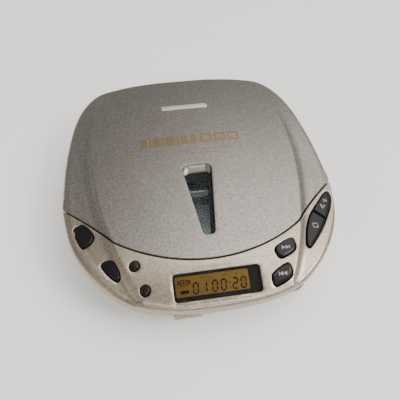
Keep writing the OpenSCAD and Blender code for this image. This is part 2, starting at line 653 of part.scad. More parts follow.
// ---------------------------------------------------------------- mechanism
plate_z = 14.9;
plate_t = 1;
damper_spots = [[-26, 18], [26, 18], [-27, -40], [26, -44]];
rod_x = -17;
rail_x = 17;
rod_z = 11;
rod_r = 1.5;
screw_x = -23.5;
sled_in = -13;
rod_ends = [-54, -3];
module chassis_plate() color(steel) difference() {
    union() {
        translate([-31, -54.1, plate_z]) cube([62, 78.1, plate_t]);
        for (x = [rod_x, rail_x], y = rod_ends)
            translate([x - 2.5, y, rod_z - 3]) cube([5, 2.2, plate_z - rod_z + 3 + eps]);
        translate([screw_x - 2.5, rod_ends[1], rod_z - 3]) cube([5, 2.2, plate_z - rod_z + 3 + eps]);
    }
    translate([-13.5, -52, 5]) cube([27, 46, 20]);
    translate([spindle.x, spindle.y, 5]) cylinder(r = 4.2, h = 20, $fn = 64);
    for (s = damper_spots) translate([s.x, s.y, 5]) cylinder(r = 2.2, h = 20, $fn = 48);
    for (x = [rod_x, rail_x]) translate([x, 5, rod_z])
        rotate([90, 0, 0]) cylinder(r = rod_r, h = 70, $fn = 48);
    translate([screw_x, 5, rod_z]) rotate([90, 0, 0]) cylinder(r = 1.05, h = 12, $fn = 32);
}
module chassis_dampers() color(dark) for (s = damper_spots) translate([s.x, s.y, 0]) difference() {
    union() {
        translate([0, 0, plate_z - 1.4]) cylinder(r = 3.6, h = 1.4, $fn = 48);
        translate([0, 0, plate_z - eps]) cylinder(r = 2.2, h = plate_t + 2 * eps, $fn = 48);
        translate([0, 0, plate_z + plate_t]) cylinder(r = 3.6, h = 1.6, $fn = 48);
    }
    cylinder(r = 1.1, h = 40, $fn = 32);
}
module chassis_screws() color(steel) for (s = damper_spots) translate([s.x, s.y, 12.3]) screw(2, 1.2, 1.1, 4);
module spindle_motor() color(steel) translate([spindle.x, spindle.y, 0]) difference() {
    union() {
        translate([0, 0, 5]) cylinder(r = 11, h = plate_z - 5, $fn = 96);
        translate([0, 0, plate_z - eps]) cylinder(r = 4.1, h = 1.6, $fn = 64);
    }
    translate([0, 0, 8]) cylinder(r = 1.05, h = 20, $fn = 32);
}
module turntable() color(dark) translate([spindle.x, spindle.y, 0]) difference() {
    union() {
        translate([0, 0, 9]) cylinder(r = 1, h = 8.2, $fn = 32);
        translate([0, 0, 16.9]) cylinder(r = 15, h = 1.1, $fn = 96);
        translate([0, 0, 17.9]) cylinder(r = 14, h = disc_z - 17.9, $fn = 96);
        translate([0, 0, disc_z - eps]) cylinder(r = 7.35, h = 1.6, $fn = 64);
        translate([0, 0, disc_z + 1.58]) cylinder(r1 = 7.1, r2 = 6, h = 0.6, $fn = 64);
    }
    for (a = [0:120:240]) rotate(a) translate([6.4, 0, disc_z + 1]) sphere(r = 1.05, $fn = 32);
}
module hub_balls() color(steel) translate([spindle.x, spindle.y, 0])
    for (a = [0:120:240]) rotate(a) translate([6.4, 0, disc_z + 1]) sphere(r = 1, $fn = 32);
module compact_disc() color([0.6, 0.72, 0.72]) translate([spindle.x, spindle.y, disc_z]) difference() {
    cylinder(r = disc_r, h = disc_t, $fn = 180);
    translate([0, 0, -1]) cylinder(r = 7.5, h = 4, $fn = 64);
    translate([0, 0, disc_t - 0.15]) difference() {
        cylinder(r = 17.4, h = 1, $fn = 96);
        translate([0, 0, -1]) cylinder(r = 16.8, h = 4, $fn = 96);
    }
}

// The pickup, its lens under the inner edge of the disc's recorded band
module pickup_base() color(dark) translate([0, sled_in, 0]) difference() {
    union() {
        translate([-13, -5.5, 7]) cube([26, 11, 7.2]);
        translate([-7, -5, 14.1]) cube([14, 9.5, 2.7]);
        translate([-19.3, -5.5, rod_z - 2.6]) cube([6.4, 11, 5.2]);
        translate([12.9, -2, rod_z - 2.6]) cube([6.4, 4, 5.2]);
        translate([-21.9, -3, rod_z - 1]) cube([2.8, 4, 2]);
    }
    translate([rod_x, 20, rod_z]) rotate([90, 0, 0]) cylinder(r = rod_r + 0.05, h = 50, $fn = 48);
    translate([rail_x - rod_r - 0.3, -10, rod_z - rod_r - 0.05]) cube([8, 20, 2 * rod_r + 0.1]);
    translate([0, 0, 13]) cylinder(r = 4, h = 10, $fn = 48);
}
module objective_lens() color([0.45, 0.55, 0.75]) translate([0, sled_in, 0]) {
    translate([0, 0, 14.6]) cylinder(r = 3.4, h = 2.6, $fn = 48);
    translate([0, 0, 17.2 - eps]) cylinder(r1 = 2.2, r2 = 1.4, h = 0.9, $fn = 48);
}
module guide_rod() color(steel) translate([rod_x, 0, rod_z])
    rotate([90, 0, 0]) cylinder(r = rod_r, h = 53, $fn = 48);
module guide_rail() color(steel) translate([rail_x, 0, rod_z])
    rotate([90, 0, 0]) cylinder(r = rod_r, h = 53, $fn = 48);
module feed_screw() color(steel) translate([screw_x, 0, rod_z]) rotate([90, 0, 0]) {
    translate([0, 0, 0.6]) cylinder(r = 1, h = 53, $fn = 32);
    for (k = [0:29]) translate([0, 0, 4 + k * 1.5]) cylinder(r1 = 1, r2 = 1.2, h = 0.5, $fn = 32);
}
module feed_motor() color(steel) translate([screw_x, -49.6, rod_z]) rotate([90, 0, 0]) difference() {
    cylinder(r = 3.8, h = 7, $fn = 64);
    translate([0, 0, -1]) cylinder(r = 1.05, h = 6, $fn = 32);
}

bottom_cabinet();
middle_frame();
front_panel();
disc_tray();
rubber_feet();
case_screws();
lid_cover();
lid_liner();
lid_window();
lid_badge();
hinge_pins();
lid_spring();
display_window();
display_panel();
display_holder();
key_board();
key_switches();
sound_button();
bass_button();
mode_button();
repeat_button();
skip_forward_button();
skip_back_button();
play_button();
stop_button();
main_board();
board_chips();
headphone_jack();
line_out_jack();
power_jack();
volume_wheel();
volume_shaft();
volume_pot();
hold_slider();
limiter_slider();
side_switches();
open_slider();
open_spring();
battery_door();
battery_holder();
battery_cells();
battery_contacts();
chassis_plate();
chassis_dampers();
chassis_screws();
spindle_motor();
turntable();
hub_balls();
compact_disc();
pickup_base();
objective_lens();
guide_rod();
guide_rail();
feed_screw();
feed_motor();
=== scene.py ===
import math
import bpy
import bmesh
import numpy as np
from mathutils import Matrix, Vector
from mathutils.geometry import delaunay_2d_cdt


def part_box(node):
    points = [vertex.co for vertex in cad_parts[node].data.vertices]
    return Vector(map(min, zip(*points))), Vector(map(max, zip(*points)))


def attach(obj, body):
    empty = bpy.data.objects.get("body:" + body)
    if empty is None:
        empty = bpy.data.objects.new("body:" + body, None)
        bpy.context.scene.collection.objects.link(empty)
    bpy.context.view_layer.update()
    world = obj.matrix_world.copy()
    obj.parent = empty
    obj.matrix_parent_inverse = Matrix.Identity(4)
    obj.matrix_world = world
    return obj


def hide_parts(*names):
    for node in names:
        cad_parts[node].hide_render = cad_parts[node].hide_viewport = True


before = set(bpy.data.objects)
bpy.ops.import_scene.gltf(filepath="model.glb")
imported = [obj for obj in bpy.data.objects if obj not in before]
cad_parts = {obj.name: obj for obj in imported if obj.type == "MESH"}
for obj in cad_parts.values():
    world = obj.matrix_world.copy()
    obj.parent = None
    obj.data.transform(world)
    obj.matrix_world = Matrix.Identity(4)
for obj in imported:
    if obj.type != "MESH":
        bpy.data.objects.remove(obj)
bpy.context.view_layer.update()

# Lengths below are in millimetres until a mesh is made.
MM = 0.001
HEIGHT = 32.0
SPINDLE = (0.0, 10.0)
LID_WALL, PANEL_WALL = 2.0, 1.6
LID_LOW, PANEL_LOW = 15.5, 13.5
HALF_SEAM = 0.3


# ---------------------------- plan curves
def spline(points, steps):
    """Closed Catmull-Rom curve through the points."""
    p = np.array(points, float)
    a, b, c, d = np.roll(p, 1, 0), p, np.roll(p, -1, 0), np.roll(p, -2, 0)
    t = (np.arange(steps) / steps)[None, :, None]
    a, b, c, d = (v[:, None, :] for v in (a, b, c, d))
    return catmull_rom(a, b, c, d, t).reshape(-1, 2)


def catmull_rom(a, b, c, d, t):
    """The curve from b (t = 0) to c (t = 1)."""
    return 0.5 * (2 * b + (c - a) * t + (2 * a - 5 * b + 4 * c - d) * t**2 + (3 * b - a - 3 * c + d) * t**3)


def resample(loop, step):
    """The closed loop with evenly spaced points."""
    p = np.vstack([loop, loop[:1]])
    s = np.concatenate([[0], np.cumsum(np.linalg.norm(np.diff(p, axis=0), axis=1))])
    n = max(8, int(round(s[-1] / step)))
    at = np.arange(n) * s[-1] / n
    return np.stack([np.interp(at, s, p[:, 0]), np.interp(at, s, p[:, 1])], 1)


def area(loop):
    """Signed area, positive for an anticlockwise loop."""
    x, y = loop[:, 0], loop[:, 1]
    return 0.5 * np.sum(x * np.roll(y, -1) - y * np.roll(x, -1))


def ccw(loop):
    return loop if area(loop) > 0 else loop[::-1]


def normals(loop):
    """Outward normals of an anticlockwise loop."""
    t = np.roll(loop, -1, 0) - np.roll(loop, 1, 0)
    t /= np.linalg.norm(t, axis=1)[:, None] + 1e-12
    return np.stack([t[:, 1], -t[:, 0]], 1)


def spun(p, angle):
    """The points p turned about the origin, angle in radians."""
    x, y = p[..., 0], p[..., 1]
    return np.stack([x * np.cos(angle) - y * np.sin(angle), x * np.sin(angle) + y * np.cos(angle)], -1)


def rounded(points, radii, step=0.35):
    """A closed polygon with its corners turned into arcs of the given radii."""
    out = []
    n = len(points)
    radii = radii if hasattr(radii, "__len__") else [radii] * n
    for i, r in enumerate(radii):
        p, a, b = (np.array(points[k % n], float) for k in (i, i - 1, i + 1))
        u, v = (a - p) / np.linalg.norm(a - p), (b - p) / np.linalg.norm(b - p)
        half = math.acos(max(-1, min(1, float(u @ v)))) / 2
        reach = r / math.tan(half)
        middle = p + (u + v) / np.linalg.norm(u + v) * r / math.sin(half)
        start, end = p + u * reach - middle, p + v * reach - middle
        sweep = math.atan2(start[0] * end[1] - start[1] * end[0], float(start @ end))
        count = max(2, int(abs(sweep) * r / step) + 1)
        out += [middle + spun(start, sweep * j / count) for j in range(count + 1)]
    return np.array(out)


def circle(c, r, n=48):
    t = np.arange(n) * 2 * math.pi / n
    return np.array(c) + r * np.stack([np.cos(t), np.sin(t)], 1)


def box_plan(cx, cy, w, d, r, step=0.3):
    """A rectangle with rounded corners."""
    x0, x1, y0, y1 = cx - w / 2, cx + w / 2, cy - d / 2, cy + d / 2
    return rounded([(x0, y0), (x1, y0), (x1, y1), (x0, y1)], r, step)


def shrink(loop, d):
    """The loop moved inwards by d in small smoothed steps, point for point."""
    p = ccw(np.array(loop, float))
    count = max(1, int(math.ceil(d / 0.06)))
    for _ in range(count):
        p = p - normals(p) * d / count
        p = 0.5 * p + 0.25 * (np.roll(p, 1, 0) + np.roll(p, -1, 0))
    return p


def cut_by(loop, p, n):
    """The part of the loop on the side that n points to."""
    out = []
    s = (loop - p) @ n
    for i in range(len(loop)):
        j = (i + 1) % len(loop)
        if s[i] > 0:
            out.append(loop[i])
        if (s[i] > 0) != (s[j] > 0):
            out.append(loop[i] + (loop[j] - loop[i]) * s[i] / (s[i] - s[j]))
    return np.array(out)


def nearest(p, q):
    """Distance from each point of p to the closest point of q."""
    return np.sqrt(((p[:, None, :] - q[None]) ** 2).sum(2)).min(1)


# The case seen from above: the right half from front to back, and its mirror image.
HALF = [
    (0, -73), (20, -71.9), (38, -66.9), (53, -54.2), (63.2, -37), (67.4, -15.5), (67.6, 5),
    (65.6, 25), (62.2, 43.5), (57, 57.5), (48.5, 67.6), (35, 71.4), (18, 73), (0, 73),
]
OUTLINE = spline(HALF + [(-x, y) for x, y in HALF[-2:0:-1]], 24)
OUTLINE_N = normals(OUTLINE)

# The seam: an arc in the middle, and a flare from each of its corners to the rim.
SEAM_C = np.array([0.0, 20.0])
SEAM_R = 73.0
CORNER, PULL, END = np.array([43.9, -38.3]), np.array([49.6, -29.8]), np.array([67.45, -14.6])
ARC = math.asin(CORNER[0] / SEAM_R)


def seam(offset, arc_steps=110, flare_steps=34):
    """The line between lid and panel, left to right, moved away from the lid by offset."""
    t = np.arange(1, flare_steps + 1)[:, None] / flare_steps
    flare = CORNER * (1 - t) ** 2 + PULL * 2 * t * (1 - t) + END * t**2
    a = np.linspace(-ARC, ARC, arc_steps + 1)
    arc = SEAM_C + SEAM_R * np.stack([np.sin(a), -np.cos(a)], 1)
    line = np.vstack([(flare * [-1, 1])[::-1], arc, flare])
    u = line - SEAM_C
    return line + u / np.linalg.norm(u, axis=1)[:, None] * offset


def ease(t):
    u = np.clip(t, 0, 1)
    return u * u * (3 - 2 * u)


def crease_x(y):
    """Distance of the two creases from the middle line."""
    return np.sqrt(205.0**2 - (y - 22) ** 2) - 151.6


def rim_distance(x, y):
    return nearest(np.stack([np.ravel(x), np.ravel(y)], 1), OUTLINE[::2]).reshape(np.shape(x))


def top_z(x, y, lip=True):
    """Height of the case's top: a dome, a hollow step outside the two creases, and a faint raised rim."""
    x, y = np.asarray(x, float), np.asarray(y, float)
    w = np.maximum(0, np.abs(x) - crease_x(y))
    u = np.clip(w / 5.0, 0, 1)
    step = 1 - (1 - u) ** 2.3
    soft = ease(w / 0.9)
    front = np.maximum(0, -45 - y)
    z = HEIGHT - x * x / 1100 - (y - 10) ** 2 / 1400 - 0.009 * front**2
    z = z - 1.9 * ease((50 - y) / 60) * step * (0.35 + 0.65 * soft) - 0.03 * w
    if lip:
        raised = np.exp(-(((rim_distance(x, y) - 3.4) / 1.1) ** 2))
        z = z + 0.22 * raised * ease((18 - y) / 30) * ease(w / 6)
    return z


# ---------------------------- meshes
def place(name, data):
    """A new object in the scene."""
    ob = bpy.data.objects.new(name, data)
    bpy.context.scene.collection.objects.link(ob)
    return ob


def mesh_object(name, skin):
    """An object of millimetre points, with its normals pointing outwards."""
    me = bpy.data.meshes.new(name)
    me.from_pydata((np.asarray(skin.v, float) * MM).tolist(), [], [list(map(int, f)) for f in skin.f])
    ob = place(name, me)
    bm = bmesh.new()
    bm.from_mesh(me)
    bmesh.ops.recalc_face_normals(bm, faces=bm.faces)
    bm.to_mesh(me)
    bm.free()
    return ob


def add(name, skin, mats, body, gone=(), sharp=38):
    """A smooth-shaded piece riding on a body. gone names the CAD nodes that it replaces."""
    ob = mesh_object(name, skin)
    me = ob.data
    for m in mats if isinstance(mats, (list, tuple)) else [mats]:
        me.materials.append(m)
    me.polygons.foreach_set("material_index", np.asarray(skin.m, np.int32))
    me.shade_smooth()
    me.set_sharp_from_angle(angle=math.radians(sharp))
    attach(ob, body)
    if gone:
        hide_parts(*gone)
    return ob


def inside(points, loop):
    """Which points lie inside the loop."""
    x, y = points[:, 0], points[:, 1]
    hit = np.zeros(len(points), bool)
    for (x0, y0), (x1, y1) in zip(loop, np.roll(loop, -1, 0)):
        cross = (y0 > y) != (y1 > y)
        hit ^= cross & (x < (x1 - x0) * (y - y0) / (y1 - y0 + 1e-15) + x0)
    return hit


def within(points, loops):
    """Which points lie inside loops[0] and outside the rest."""
    keep = inside(points, loops[0])
    for hole in loops[1:]:
        keep &= ~inside(points, hole)
    return keep


def clear_of(points, loop, gap):
    """Which points keep more than the gap from the loop's points, looked at in blocks."""
    keep = np.ones(len(points), bool)
    for k in range(0, len(loop), 400):
        part = loop[k:k + 400]
        keep &= ((points[:, None, :] - part[None]) ** 2).sum(2).min(1) > gap * gap
    return keep


def fill(loops, step, extra=None):
    """Triangles inside loops[0] and outside the rest. The loops' points come first, in order."""
    lo, hi = loops[0].min(0), loops[0].max(0)
    gx, gy = np.meshgrid(np.arange(lo[0], hi[0], step), np.arange(lo[1], hi[1], step * 0.866))
    gx = gx + (np.arange(gx.shape[0]) % 2)[:, None] * step / 2
    grid = np.stack([gx.ravel(), gy.ravel()], 1)
    if extra is not None:
        grid = grid[clear_of(grid, extra, step * 0.6)]
        grid = np.vstack([grid, extra])
    grid = grid[within(grid, loops)]
    for loop in loops:
        grid = grid[clear_of(grid, loop, step * 0.45)]
    points = np.vstack([*loops, grid])
    edges, at = [], 0
    for loop in loops:
        edges += [(at + i, at + (i + 1) % len(loop)) for i in range(len(loop))]
        at += len(loop)
    v, _, f, orig, _, _ = delaunay_2d_cdt([Vector(p) for p in points], edges, [], 0, 1e-7)
    ids = np.array([o[0] if o else -1 for o in orig])
    made = np.array([tuple(p) for p in v])
    tri = np.array([t for t in f if len(t) == 3])
    tri = tri[within(made[tri].mean(1), loops)]
    if (ids[np.unique(tri)] < 0).any():
        raise RuntimeError("outlines cross")
    tri = ids[tri]
    a = points[tri]
    flip = np.cross(a[:, 1] - a[:, 0], a[:, 2] - a[:, 0]) < 0
    tri[flip] = tri[flip][:, ::-1]
    return points, tri


def crease_rows():
    """Points along the two creases, so that the mesh follows them."""
    rows = []
    for d in (-1.0, -0.3, 0.15, 0.5, 0.95, 1.6, 2.5, 3.6, 5.0):
        y = np.arange(-70, 55, 0.9 if d < 3 else 1.3)
        x = crease_x(y) + d
        rows += [np.stack([x, y], 1), np.stack([-x, y], 1)]
    return np.vstack(rows)


class Skin:
    """Collects points, faces and the faces' material numbers, ring by ring."""

    def __init__(self):
        self.v, self.f, self.m = [], [], []

    def put(self, points):
        at = len(self.v)
        self.v += [tuple(p) for p in np.asarray(points, float)]
        return np.arange(at, len(self.v))

    def band(self, a, b, mat=0):
        """Quads between two rings of equal length."""
        n = len(a)
        for i in range(n):
            j = (i + 1) % n
            self.f.append((a[i], a[j], b[j], b[i]))
            self.m.append(mat)

    def tris(self, tri, ids, flip=False, mat=0):
        for t in tri:
            q = ids[t]
            self.f.append(tuple(q[::-1]) if flip else tuple(q))
            self.m.append(mat)

    def cap(self, ring):
        self.f.append(tuple(ring))
        self.m.append(0)


def at_z(p, z):
    """Points in space from plan points, at one height or at a height for each."""
    return np.column_stack([p, np.broadcast_to(z, len(p))])


def rounding(angles, radius):
    """Inward shift and drop of a rounded edge at each angle, from its top to its side."""
    turns = [math.radians(a) for a in angles]
    return [(radius * (1 - math.cos(t)), radius * (1 - math.sin(t))) for t in turns]


def shell(name, loop, r, low, tuck, thick, wall, holes, mats, body, gone, step):
    """A closed shell under the case's top. loop is its widest outline, r the top edge's radius at each
    point, low the height that its side reaches down to, tuck how far the side leans in there.
    holes are (outline, edge radius, depth, function that gives the foot's outline)."""
    out = normals(loop)
    n = len(loop)
    cuts = [ccw(h[0]) for h in holes]
    rims = [cut + normals(cut) * h[1] for cut, h in zip(cuts, holes)]
    pts, tri = fill([loop - out * r[:, None], *rims], step, crease_rows())
    z = top_z(pts[:, 0], pts[:, 1])
    skin = Skin()
    top = skin.put(at_z(pts, z))
    bottom = skin.put(at_z(pts, z - wall))
    skin.tris(tri, top)
    skin.tris(tri, bottom, flip=True, mat=1)

    # Down the outside, round the lower edge and up the inside.
    edge = z[:n]
    rings = [(shift, edge - drop, 0) for shift, drop in rounding((75, 60, 45, 30, 15, 0), r)]
    for down, lean in ((0.5, 0.35), (0.8, 0.75)):
        rings.append((tuck * lean, (edge - r) * (1 - down) + (low + 0.3) * down, 0))
    for shift, up in ((0.0, 0.3), (0.12, 0.08), (0.35, 0.0)):
        rings.append((tuck + shift, low + up, 0))
    rings.append((tuck + thick, low, 1))
    rings.append((tuck + thick, np.maximum(low, edge - wall - r * 0.6), 1))
    last = top[:n]
    for shift, height, mat in rings:
        ring = skin.put(at_z(loop - out * shift[:, None], height))
        skin.band(last, ring, mat)
        last = ring
    skin.band(last, bottom[:n], 1)

    at = n
    for cut, (_, radius, depth, foot_of) in zip(cuts, holes):
        m = len(cut)
        edge = z[at:at + m]
        last = top[at:at + m]
        for shift, drop in rounding((60, 30, 0), radius):
            ring = skin.put(at_z(cut + normals(cut) * shift, edge - drop))
            skin.band(ring, last)
            last = ring
        foot = foot_of(cut)
        slanted = np.linalg.norm(foot - cut, axis=1) > 0.05
        for k in (0.5, 1.0):
            ring = skin.put(at_z(cut + (foot - cut) * k, (edge - radius) * (1 - k) + (edge - depth) * k))
            start = len(skin.m)
            skin.band(ring, last, 1)
            for i in np.flatnonzero(slanted & np.roll(slanted, -1)):
                skin.m[start + i] = 0
            last = ring
        skin.band(bottom[at:at + m], last, 1)
        at += m
    return add(name, skin, mats, body, gone)


def flat(z):
    """A height function that is the same everywhere."""
    return lambda x, y: np.full(np.shape(x), float(z))


def slab(name, loop, top, bottom, edge, mat, body, gone=(), step=0.8, angles=(60, 30, 0),
         foot=None):
    """A closed pad: plan outline, a top and a bottom height function, a rounded top edge, and
    perhaps a round foot (centre, radius, height)."""
    loop = ccw(loop)
    n = len(loop)
    skin = Skin()
    inner = shrink(loop, edge) if edge > 0.12 else loop - normals(loop) * edge
    pts, tri = fill([inner], step)
    up = skin.put(at_z(pts, top(pts[:, 0], pts[:, 1])))
    skin.tris(tri, up)
    last = up[:n]
    edge_z = top(loop[:, 0], loop[:, 1])
    for a in angles:
        k = 1 - math.cos(math.radians(a))
        ring = skin.put(at_z(loop * (1 - k) + inner * k, edge_z - edge * (1 - math.sin(math.radians(a)))))
        skin.band(last, ring)
        last = ring
    ring = skin.put(at_z(loop, bottom(loop[:, 0], loop[:, 1])))
    skin.band(last, ring)
    stems = [circle(foot[0], foot[1], 24)] if foot else []
    pts, tri = fill([loop, *stems], step * 1.5)
    rest = pts[n:]
    low = np.concatenate([ring, skin.put(at_z(rest, bottom(rest[:, 0], rest[:, 1])))])
    skin.tris(tri, low, flip=True)
    for stem in stems:
        ring = skin.put(at_z(stem, foot[2]))
        skin.band(low[n:n + len(stem)], ring)
        skin.cap(ring)
    return add(name, skin, mat, body, gone)


def printed(name, loops, mat, body, surface, lift=0.03, sink=0.12, step=1.2):
    """A thin sheet on a surface, inside loops[0] and outside loops[1] if there is one."""
    pts, tri = fill(loops, step)
    z = surface(pts[:, 0], pts[:, 1])
    skin = Skin()
    top, under = skin.put(at_z(pts, z + lift)), skin.put(at_z(pts, z - sink))
    skin.tris(tri, top)
    skin.tris(tri, under, flip=True)
    n = len(loops[0])
    skin.band(under[:n], top[:n])
    for hole in loops[1:]:
        m = n + len(hole)
        skin.band(top[n:m], under[n:m])
    return add(name, skin, mat, body)


def decal(name, loop, mat, body, surface, lift=0.03, step=1.2):
    """A printed mark."""
    return printed(name, [ccw(loop)], mat, body, surface, lift, step=step)


def hollow_decal(name, loop, width, mat, body, surface, lift=0.03):
    """A printed outline of the given line width."""
    loop = ccw(loop)
    mid = loop.mean(0)
    reach = np.sqrt(((loop - mid) ** 2).sum(1)).min()
    return printed(name, [loop, mid + (loop - mid) * (1 - width / reach)], mat, body, surface, lift)


def revolve(name, profile, centre, steps, mats, body, gone, index):
    """A ring of revolution from closed (radius, height) points, index giving each band's material."""
    skin = Skin()
    rings = [skin.put(at_z(circle(centre, radius, steps), z)) for radius, z in profile]
    for ring, after, mat in zip(rings, rings[1:] + rings[:1], index):
        skin.band(ring, after, mat)
    return add(name, skin, mats, body, gone, sharp=30)


# ---------------------------- materials
class Nodes:
    """A node tree. node() adds a node and sets or links its inputs by name."""

    def __init__(self, tree):
        self.tree = tree

    def node(self, kind, inputs=(), **settings):
        n = self.tree.nodes.new(kind)
        for k, v in settings.items():
            setattr(n, k, v)
        for k, v in dict(inputs).items():
            self.put(n.inputs[k], v)
        return n

    def put(self, socket, v):
        if isinstance(v, bpy.types.NodeSocket):
            self.tree.links.new(v, socket)
        elif hasattr(v, "__len__") and len(v) == 3 and socket.type == "RGBA":
            socket.default_value = (*v, 1)
        else:
            socket.default_value = v

    def ramp(self, fac, stops):
        n = self.node("ShaderNodeValToRGB", {"Fac": fac})
        e = n.color_ramp.elements
        while len(e) < len(stops):
            e.new(0.5)
        for el, (p, c) in zip(e, stops):
            el.position = p
            el.color = (*c, 1) if hasattr(c, "__len__") else (c, c, c, 1)
        return n.outputs["Color"]

    def mix(self, fac, a, b, blend="MIX"):
        n = self.node("ShaderNodeMix", data_type="RGBA", blend_type=blend)
        self.put(n.inputs[0], fac)
        self.put(n.inputs[6], a)
        self.put(n.inputs[7], b)
        return n.outputs[2]

    def math(self, op, a, b=0.0):
        return self.node("ShaderNodeMath", {0: a, 1: b}, operation=op).outputs[0]

    def span(self, value, low, high):
        """0 where the value is low, 1 where it is high."""
        inputs = {"Value": value, "From Min": low, "From Max": high}
        return self.node("ShaderNodeMapRange", inputs).outputs[0]

    def split(self, vector):
        return self.node("ShaderNodeSeparateXYZ", {"Vector": vector}).outputs


class Paint(Nodes):
    """A procedural material on the Principled shader. Distances in its textures are metres."""

    def __init__(self, name, **inputs):
        self.mat = bpy.data.materials.new(name)
        self.mat.use_nodes = True
        super().__init__(self.mat.node_tree)
        self.bsdf = self.tree.nodes["Principled BSDF"]
        self.place = self.node("ShaderNodeTexCoord").outputs["Object"]
        self.set(**inputs)

    def set(self, **inputs):
        for k, v in inputs.items():
            self.put(self.bsdf.inputs[k.replace("_", " ")], v)

    def noise(self, scale, detail=3, rough=0.55, stretch=None):
        at = self.place
        if stretch:
            at = self.node("ShaderNodeMapping", {"Vector": at, "Scale": stretch}).outputs[0]
        inputs = {"Vector": at, "Scale": scale, "Detail": detail, "Roughness": rough}
        return self.node("ShaderNodeTexNoise", inputs).outputs["Fac"]

    def cells(self, scale):
        return self.node("ShaderNodeTexVoronoi", {"Vector": self.place, "Scale": scale}).outputs

    def worn(self, low, high):
        """Where edges stand out."""
        pointed = self.node("ShaderNodeNewGeometry").outputs["Pointiness"]
        return self.ramp(pointed, [(low, 0.0), (high, 1.0)])

    def bump(self, height, distance, strength=1.0, normal=None):
        n = self.node("ShaderNodeBump", {"Height": height, "Distance": distance, "Strength": strength})
        if normal is not None:
            self.put(n.inputs["Normal"], normal)
        return n.outputs[0]


def scaled(colour, k, plus=0.0):
    return tuple(min(1, c * k + plus) for c in colour)


def metallic_paint(name, dark, light, metallic, rough, cloud=0.75):
    """Silver paint: flakes that differ in brightness and tilt, soft clouding, scratches, rubbed edges."""
    p = Paint(name, Metallic=metallic, IOR=1.5, Coat_Weight=0.1, Coat_Roughness=0.25)
    flake = p.node("ShaderNodeSeparateColor", {"Color": p.cells(2600)["Color"]}).outputs
    middle = tuple((a + b) / 2 for a, b in zip(dark, light))
    fine = p.ramp(flake[0], [(0.0, dark), (0.55, middle), (1.0, light)])
    cloudy = p.ramp(p.noise(38, 4), [(0.3, 0.94), (0.7, 1.05)])
    col = p.mix(cloud, fine, cloudy, "MULTIPLY")
    hair = p.ramp(p.noise(60, 2, 0.4, (1.0, 14.0, 1.0)), [(0.70, 0.0), (0.735, 1.0)])
    gate = p.ramp(p.noise(22, 2), [(0.56, 0.0), (0.66, 1.0)])
    scratch = p.math("MULTIPLY", hair, gate)
    rub = p.math("MULTIPLY", p.worn(0.56, 0.64), p.ramp(p.noise(240, 4), [(0.45, 0.0), (0.6, 1.0)]))
    col = p.mix(p.math("MULTIPLY", scratch, 0.16), col, scaled(light, 1.5))
    col = p.mix(p.math("MULTIPLY", rub, 0.35), col, scaled(light, 1.35))
    p.set(Base_Color=col)
    p.set(Roughness=p.ramp(p.noise(900, 3), [(0.2, rough - 0.05), (0.8, rough + 0.07)]))
    p.set(Normal=p.bump(flake[1], 0.00003, 0.5, p.bump(p.noise(1500, 2), 0.00003, 0.35)))
    return p.mat


def moulded(name, colour, rough=0.5, grain=1400, depth=0.00004, spec=0.5, dust=0.05):
    """Moulded plastic or rubber: fine grain, uneven gloss, a little dust, paler edges."""
    p = Paint(name, IOR=1.48, Specular_IOR_Level=spec)
    smear = p.noise(75, 5, 0.65)
    col = p.mix(p.ramp(smear, [(0.35, 0.0), (0.8, dust)]), colour, (0.42, 0.41, 0.39))
    col = p.mix(p.math("MULTIPLY", p.worn(0.55, 0.66), 0.18), col, scaled(colour, 2.2, 0.05))
    p.set(Base_Color=col)
    p.set(Roughness=p.ramp(smear, [(0.25, max(0.05, rough - 0.09)), (0.8, min(1, rough + 0.12))]))
    p.set(Normal=p.bump(p.noise(grain, 3), depth, 0.6))
    return p.mat


def metal(name, colour, rough=0.28, stretch=(1, 22, 1)):
    """Worked metal: brushed along one way, uneven gloss, faint tarnish."""
    p = Paint(name, Metallic=1.0)
    lines = p.noise(420, 3, 0.6, stretch)
    stain = p.noise(70, 4, 0.6)
    p.set(Base_Color=p.mix(p.ramp(stain, [(0.35, 0.0), (0.8, 0.5)]), colour, scaled(colour, 0.78)))
    p.set(Roughness=p.ramp(lines, [(0.25, rough - 0.08), (0.8, rough + 0.12)]))
    p.set(Normal=p.bump(lines, 0.00002, 0.5))
    return p.mat


def window(name, colour, alpha, rough=0.06):
    """A tinted window: light passes straight through it, with smears and fine dust on its gloss."""
    p = Paint(name, IOR=1.4, Specular_IOR_Level=0.3)
    dust = p.noise(140, 5, 0.6)
    p.set(Base_Color=p.mix(p.ramp(dust, [(0.45, 0.0), (0.85, 0.3)]), colour, (0.25, 0.26, 0.26)))
    p.set(Alpha=p.ramp(p.noise(60, 3), [(0.3, alpha), (0.8, alpha + 0.05)]))
    p.set(Roughness=p.ramp(dust, [(0.3, rough), (0.8, rough + 0.12)]))
    p.set(Normal=p.bump(p.noise(70, 2), 0.00002, 0.15))
    return p.mat


def clear(name, tint, rough, ior):
    """Clear plastic or glass with faint smears."""
    p = Paint(name, Transmission_Weight=1.0, IOR=ior)
    p.set(Base_Color=p.mix(p.ramp(p.noise(90, 4), [(0.3, 0.0), (0.8, 0.25)]), tint, scaled(tint, 0.85)))
    p.set(Roughness=p.ramp(p.noise(160, 4), [(0.3, rough), (0.8, rough + 0.04)]))
    p.set(Normal=p.bump(p.noise(60, 2), 0.00002, 0.2))
    return p.mat


